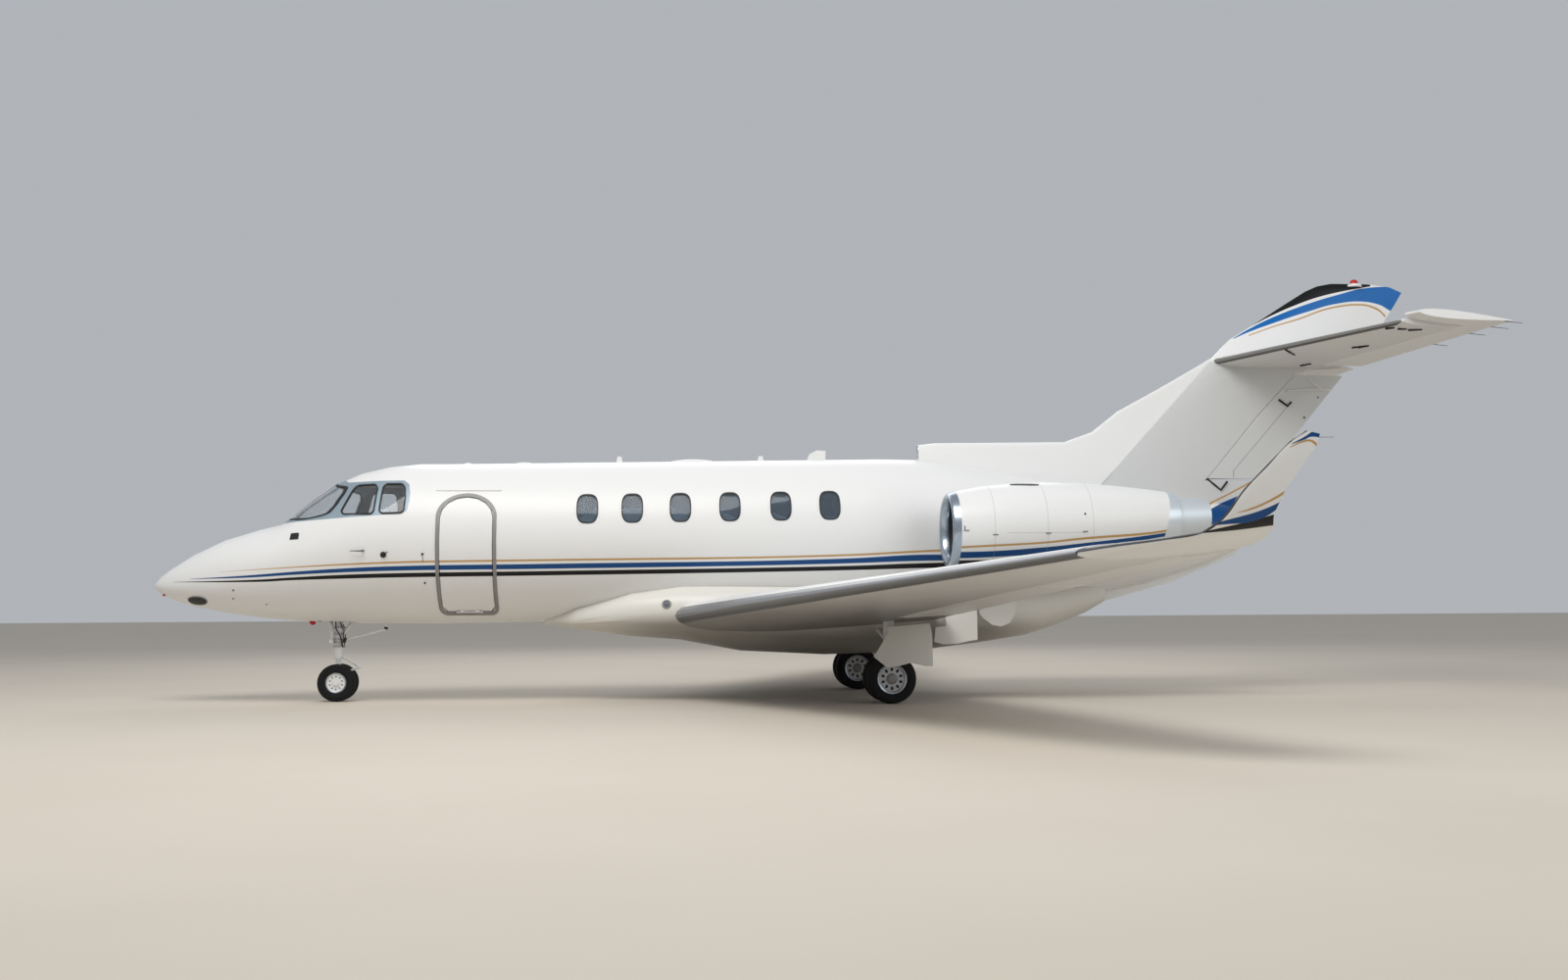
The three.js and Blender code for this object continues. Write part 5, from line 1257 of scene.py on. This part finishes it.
# Dark bars: (station, height, lift) from and to, radii, sides
BARS = [
    ((2.816, 1.716, 0.004), (2.826, 1.722, 0.03), 0.007, 10),
    ((2.822, 1.720, 0.028), (2.875, 1.752, 0.028), [0.010, 0.004], 8),
    ((3.261, 1.70, 0.002), (3.265, 1.636, 0.002), 0.003, 6),
]
marks, probes, cap_rims, cap_backs = Shape(), Shape(), Shape(), Shape()
for side in (1, -1):
    hits = [side_hit(cockpit_skin, *corner, side)[0] for corner in STATIC_PLATE]
    marks.rings([[hit + Vector((0, side * lift, 0)) for hit in hits] for lift in PLATE_LIFTS])
    place, out = side_hit(fairing_skin, *REFUEL_CAP, side)
    cap_rims.lathe(CAP_RIM, place, out, sides=32, closed=True)
    cap_backs.lathe(CAP_FACE, place, out, sides=28)
    probes.tube([on_body(s, PROBE_Z, side, lift) for s, lift in PROBE_PATH], PROBE_RADII, sides=12)
    for station, z, profile, sides in DISCS:
        point = on_body(station, z, side)
        marks.lathe(profile, point, body_normal(point), sides)
    for start, end, radii, sides in BARS:
        marks.tube([on_body(s, z, side, lift) for s, z, lift in (start, end)], radii, sides)
probes.piece("side_probes", dark_metal)
marks.piece("side_marks", mark)
cap_rims.piece("fairing_cap_rims", band_metal)
cap_backs.piece("fairing_caps", dark_metal)

# Oval inlet on each side of the nose, a flat black pane that stands for the shade in its recess: station,
# height, half sizes, tip; then a red cover near its tip
INLET_S, INLET_Z, INLET_HALF, INLET_TIP = 0.578, 1.204, (0.118, 0.045), -0.04
COVER_PLACE = (0.136, 1.277)
COVER = [(-0.01, 0.016), (0.008, 0.015), (0.016, 0.010), (0.020, 0.004)]
inlet_shades, inlet_backs, nose_reds = Shape(), Shape(), Shape()
for side in (1, -1):
    level = oval(INLET_S, INLET_Z, *INLET_HALF, power=2.2, sides=36)
    inlet = [(s, z + (s - INLET_S) * INLET_TIP) for s, z in level]
    body_band(inlet_backs, grown(inlet, 0.006), grown(inlet, -0.002), side, lift=0.002, depth=0.006)
    body_pane(inlet_shades, inlet, side, lift=0.0008, depth=0.006, rows=5)
    nose_reds.lathe(COVER, on_body(*COVER_PLACE, side), (1, side * 0.8, -0.5), sides=20)
inlet_shades.piece("nose_inlets", mark)
inlet_backs.piece("nose_inlet_rims", band_metal)
nose_reds.piece("nose_covers", red_lens)


# Roof fittings; columns of a low fairing: front and rear station, half width, height
BLISTERS = [(3.59, 3.70, 0.05, 0.014), (4.19, 4.45, 0.09, 0.010), (6.08, 6.66, 0.13, 0.024)]
BLISTER_ROOT, BLISTER_POWER = 0.012, 0.55
# Small blades: station, top; then the (distance ahead, distance to port) corners of their section
BLADES = [(5.48, 2.945), (7.22, 2.955)]
BLADE_SECTION = [(0.035, 0), (0.01, 0.006), (-0.035, 0), (0.01, -0.006)]


def blister(shape, front, rear, half, height, steps=14):
    """A low rounded fairing along the top of the body."""
    rings = []
    for k in range(1, steps):
        t = k / steps
        station = front + (rear - front) * t
        swell = math.sin(math.pi * t) ** BLISTER_POWER
        root = body_row(station)[4] - BLISTER_ROOT
        rise = (height + BLISTER_ROOT) * swell
        turns = [math.pi * i / 9 for i in range(10)]
        rings.append([at(station, half * swell * math.cos(a), root + rise * math.sin(a)) for a in turns])
    shape.rings(rings)


roof = Shape()
for row in BLISTERS:
    blister(roof, *row)
for station, top in BLADES:
    root = body_row(station)[4]
    roof.rings([
        [at(station - along * reach, across * reach, z) for along, across in BLADE_SECTION]
        for z, reach in ((root - 0.01, 1.2), (root + 0.01, 1.0), (top, 0.7))
    ])
roof.piece("roof_fittings", white_paint)


# Tail fittings; columns: station, distance from the middle, height
RUDDER_NOTCH = [
    (13.872, 0.068, 3.695), (13.92, 0.060, 3.664), (13.995, 0.046, 3.618), (14.044, 0.043, 3.669),
]
FOOT_NOTCH = [(12.887, 0.075, 2.677), (13.0, 0.068, 2.592), (13.074, 0.062, 2.536), (13.162, 0.058, 2.645)]
RUDDER_DOTS = [(14.418, 0.006, 3.737), (14.226, 0.009, 3.475)]
DOT_PROFILE = [(0.0, 0.012), (0.012, 0.011), (0.014, 0.006)]
NOTCH_LIFT, NOTCH_RADIUS = 0.004, 0.014
# Each rod's points, then its radius and sides
RODS = [
    ([(13.99, 0.05, 3.812), (13.99, 0.085, 3.812)], 0.012, 10),
    ([(14.57, 0.002, 3.831), (14.57, 0.05525, 3.831)], 0.010, 10),
    ([(13.98, 0.085, 3.811), (14.25, 0.085, 3.825), (14.60, 0.051, 3.832)], 0.009, 12),
    ([(14.29, 0.0425, 3.975), (14.44, 0.085, 3.825)], 0.010, 12),
]
# Rim of the dorsal inlet: distance ahead, half width, half height
RAM_S, RAM_Z = 9.19, 3.01
RAM_RIM = [(0.0, 0.050, 0.070), (0.006, 0.054, 0.075), (0.004, 0.064, 0.086), (-0.012, 0.068, 0.092)]
notches, foot_notches, rods, inlet_rim = Shape(), Shape(), Shape(), Shape()
for side in (1, -1):
    for corners, shape in ((RUDDER_NOTCH, notches), (FOOT_NOTCH, foot_notches)):
        shape.tube([at(s, side * (out + NOTCH_LIFT), z) for s, out, z in corners], NOTCH_RADIUS, sides=8)
    for s, out, z in RUDDER_DOTS:
        notches.lathe(DOT_PROFILE, at(s, side * out, z), (0, side, 0), sides=12)
    for points, radius, sides in RODS:
        rods.tube([at(s, side * out, z) for s, out, z in points], radius, sides)
inlet_rim.rings([
    [at(RAM_S - along, half * math.cos(t), RAM_Z + high * math.sin(t)) for t in around(40)]
    for along, half, high in RAM_RIM
], closed=True)
inlet_rim.piece("ram_inlet_rim", polished)
notches.piece("rudder_notches", mark, "rudder")
foot_notches.piece("fin_foot_notches", mark)
rods.piece("rudder_rods", white_paint, "rudder")

# Dark fittings under the tailplane, each from one (station, port distance) to the other
TAIL_FITTINGS = [
    ((13.49, 1.17), (13.66, 1.03)), ((13.54, 1.15), (13.56, 1.10)), ((14.07, 0.30), (14.15, 0.42)),
    ((14.12, 1.56), (14.20, 1.60)), ((14.18, 1.60), (14.28, 1.66)), ((14.20, 1.56), (14.28, 1.66)),
    ((14.02, 2.56), (14.08, 2.64)), ((14.13, 2.62), (14.22, 2.64)), ((14.26, 2.60), (14.40, 2.64)),
]
# They are found from this height, then set lower by the drop
BELOW_TAIL = 3.6
FITTING_DROP, FITTING_RADII = 0.006, [0.015, 0.010]
tail_skin = skin_of("tailplane")
tail_fittings = Shape()
for side in (1, -1):
    for ends in TAIL_FITTINGS:
        hits = [tail_skin.ray_cast(at(s, side * y, BELOW_TAIL), Vector((0, 0, 1)))[0] for s, y in ends]
        tail_fittings.tube([hit - Vector((0, 0, FITTING_DROP)) for hit in hits], FITTING_RADII, sides=8)
tail_fittings.piece("tailplane_fittings", mark)


# Static wicks: (station, distance to port, height) from and to; the elevators' are swept back outwards
WICK_RADII = [0.004, 0.0025]
RUDDER_WICK = ((14.22, 0, 3.225), (14.62, 0, 3.225))
TIP_SIDE = 3.03
WICK_SIDES = (1.6, 2.3, 2.7)
WICK_SWEEP = 0.074


def wicks(name, places, body):
    shape = Shape()
    for start, end in places:
        shape.tube([at(*start), at(*end)], WICK_RADII, sides=8)
    shape.piece(name, mark, body)


wicks("rudder_wicks", [RUDDER_WICK], "rudder")
for side, body in ((1, "elevator_port"), (-1, "elevator_starboard")):
    places = [((15.13, side * TIP_SIDE, 4.15), (15.33, side * TIP_SIDE, 4.135))]
    for y in WICK_SIDES:
        swept = WICK_SWEEP * y
        places.append(((14.965 + swept, side * y, 4.155), (15.17 + swept, side * y, 4.135)))
    wicks(f"{body}_wicks", places, body)


# Floor, lights and camera; columns: name, place, what it points at, size, power, colour
LIGHTS = [
    ("key", (5, 10, 15), (0, 0, 2), (12, 8), 1950, (1.0, 0.98, 0.95)),
    ("fill", (-12, 14, 8), (-2, 0, 2), (10, 8), 420, (0.96, 0.98, 1.0)),
    ("back", (0, -14, 12), (0, 0, 2), (16, 8), 700, (1.0, 0.99, 0.97)),
]
SKY, SKY_STRENGTH = (0.84, 0.88, 0.93), 0.52


def floor():
    mesh = bpy.data.meshes.new("floor")
    corners = [(x * FLOOR_HALF, y * FLOOR_HALF, 0) for x, y in ((-1, -1), (1, -1), (1, 1), (-1, 1))]
    mesh.from_pydata(corners, [], [(0, 1, 2, 3)])
    g = Graph("floor_pale")
    tone = g.mix(g.noise(scale=0.4, detail=4.0), (0.58, 0.52, 0.44), (0.64, 0.58, 0.50))
    mesh.materials.append(g.finish(tone, g.spread(g.noise(scale=3.0), width=0.1, start=0.75)))
    placed("floor", mesh)


def area_light(name, place, target, size, power, colour):
    data = bpy.data.lights.new(name, "AREA")
    data.shape = "RECTANGLE"
    data.size, data.size_y = size
    data.energy = power
    data.color = colour
    lamp = placed(name, data)
    lamp.location = place
    lamp.rotation_euler = (Vector(target) - Vector(place)).to_track_quat("-Z", "Y").to_euler()


def sky_light():
    world = bpy.data.worlds.new("studio")
    world.use_nodes = True
    sky = world.node_tree.nodes["Background"]
    sky.inputs["Color"].default_value = (*SKY, 1)
    sky.inputs["Strength"].default_value = SKY_STRENGTH
    bpy.context.scene.world = world


def photo_camera():
    data = bpy.data.cameras.new("photo_camera")
    data.sensor_width = 36.0
    data.lens = CAMERA_LENS
    data.clip_end = 400
    camera = placed("photo_camera", data)
    camera.location = CAMERA_PLACE
    camera.rotation_euler = [math.radians(a) for a in CAMERA_TURN]
    bpy.context.scene.camera = camera


floor()
for row in LIGHTS:
    area_light(*row)
sky_light()
photo_camera()
bpy.context.scene.view_settings.view_transform = "Standard"
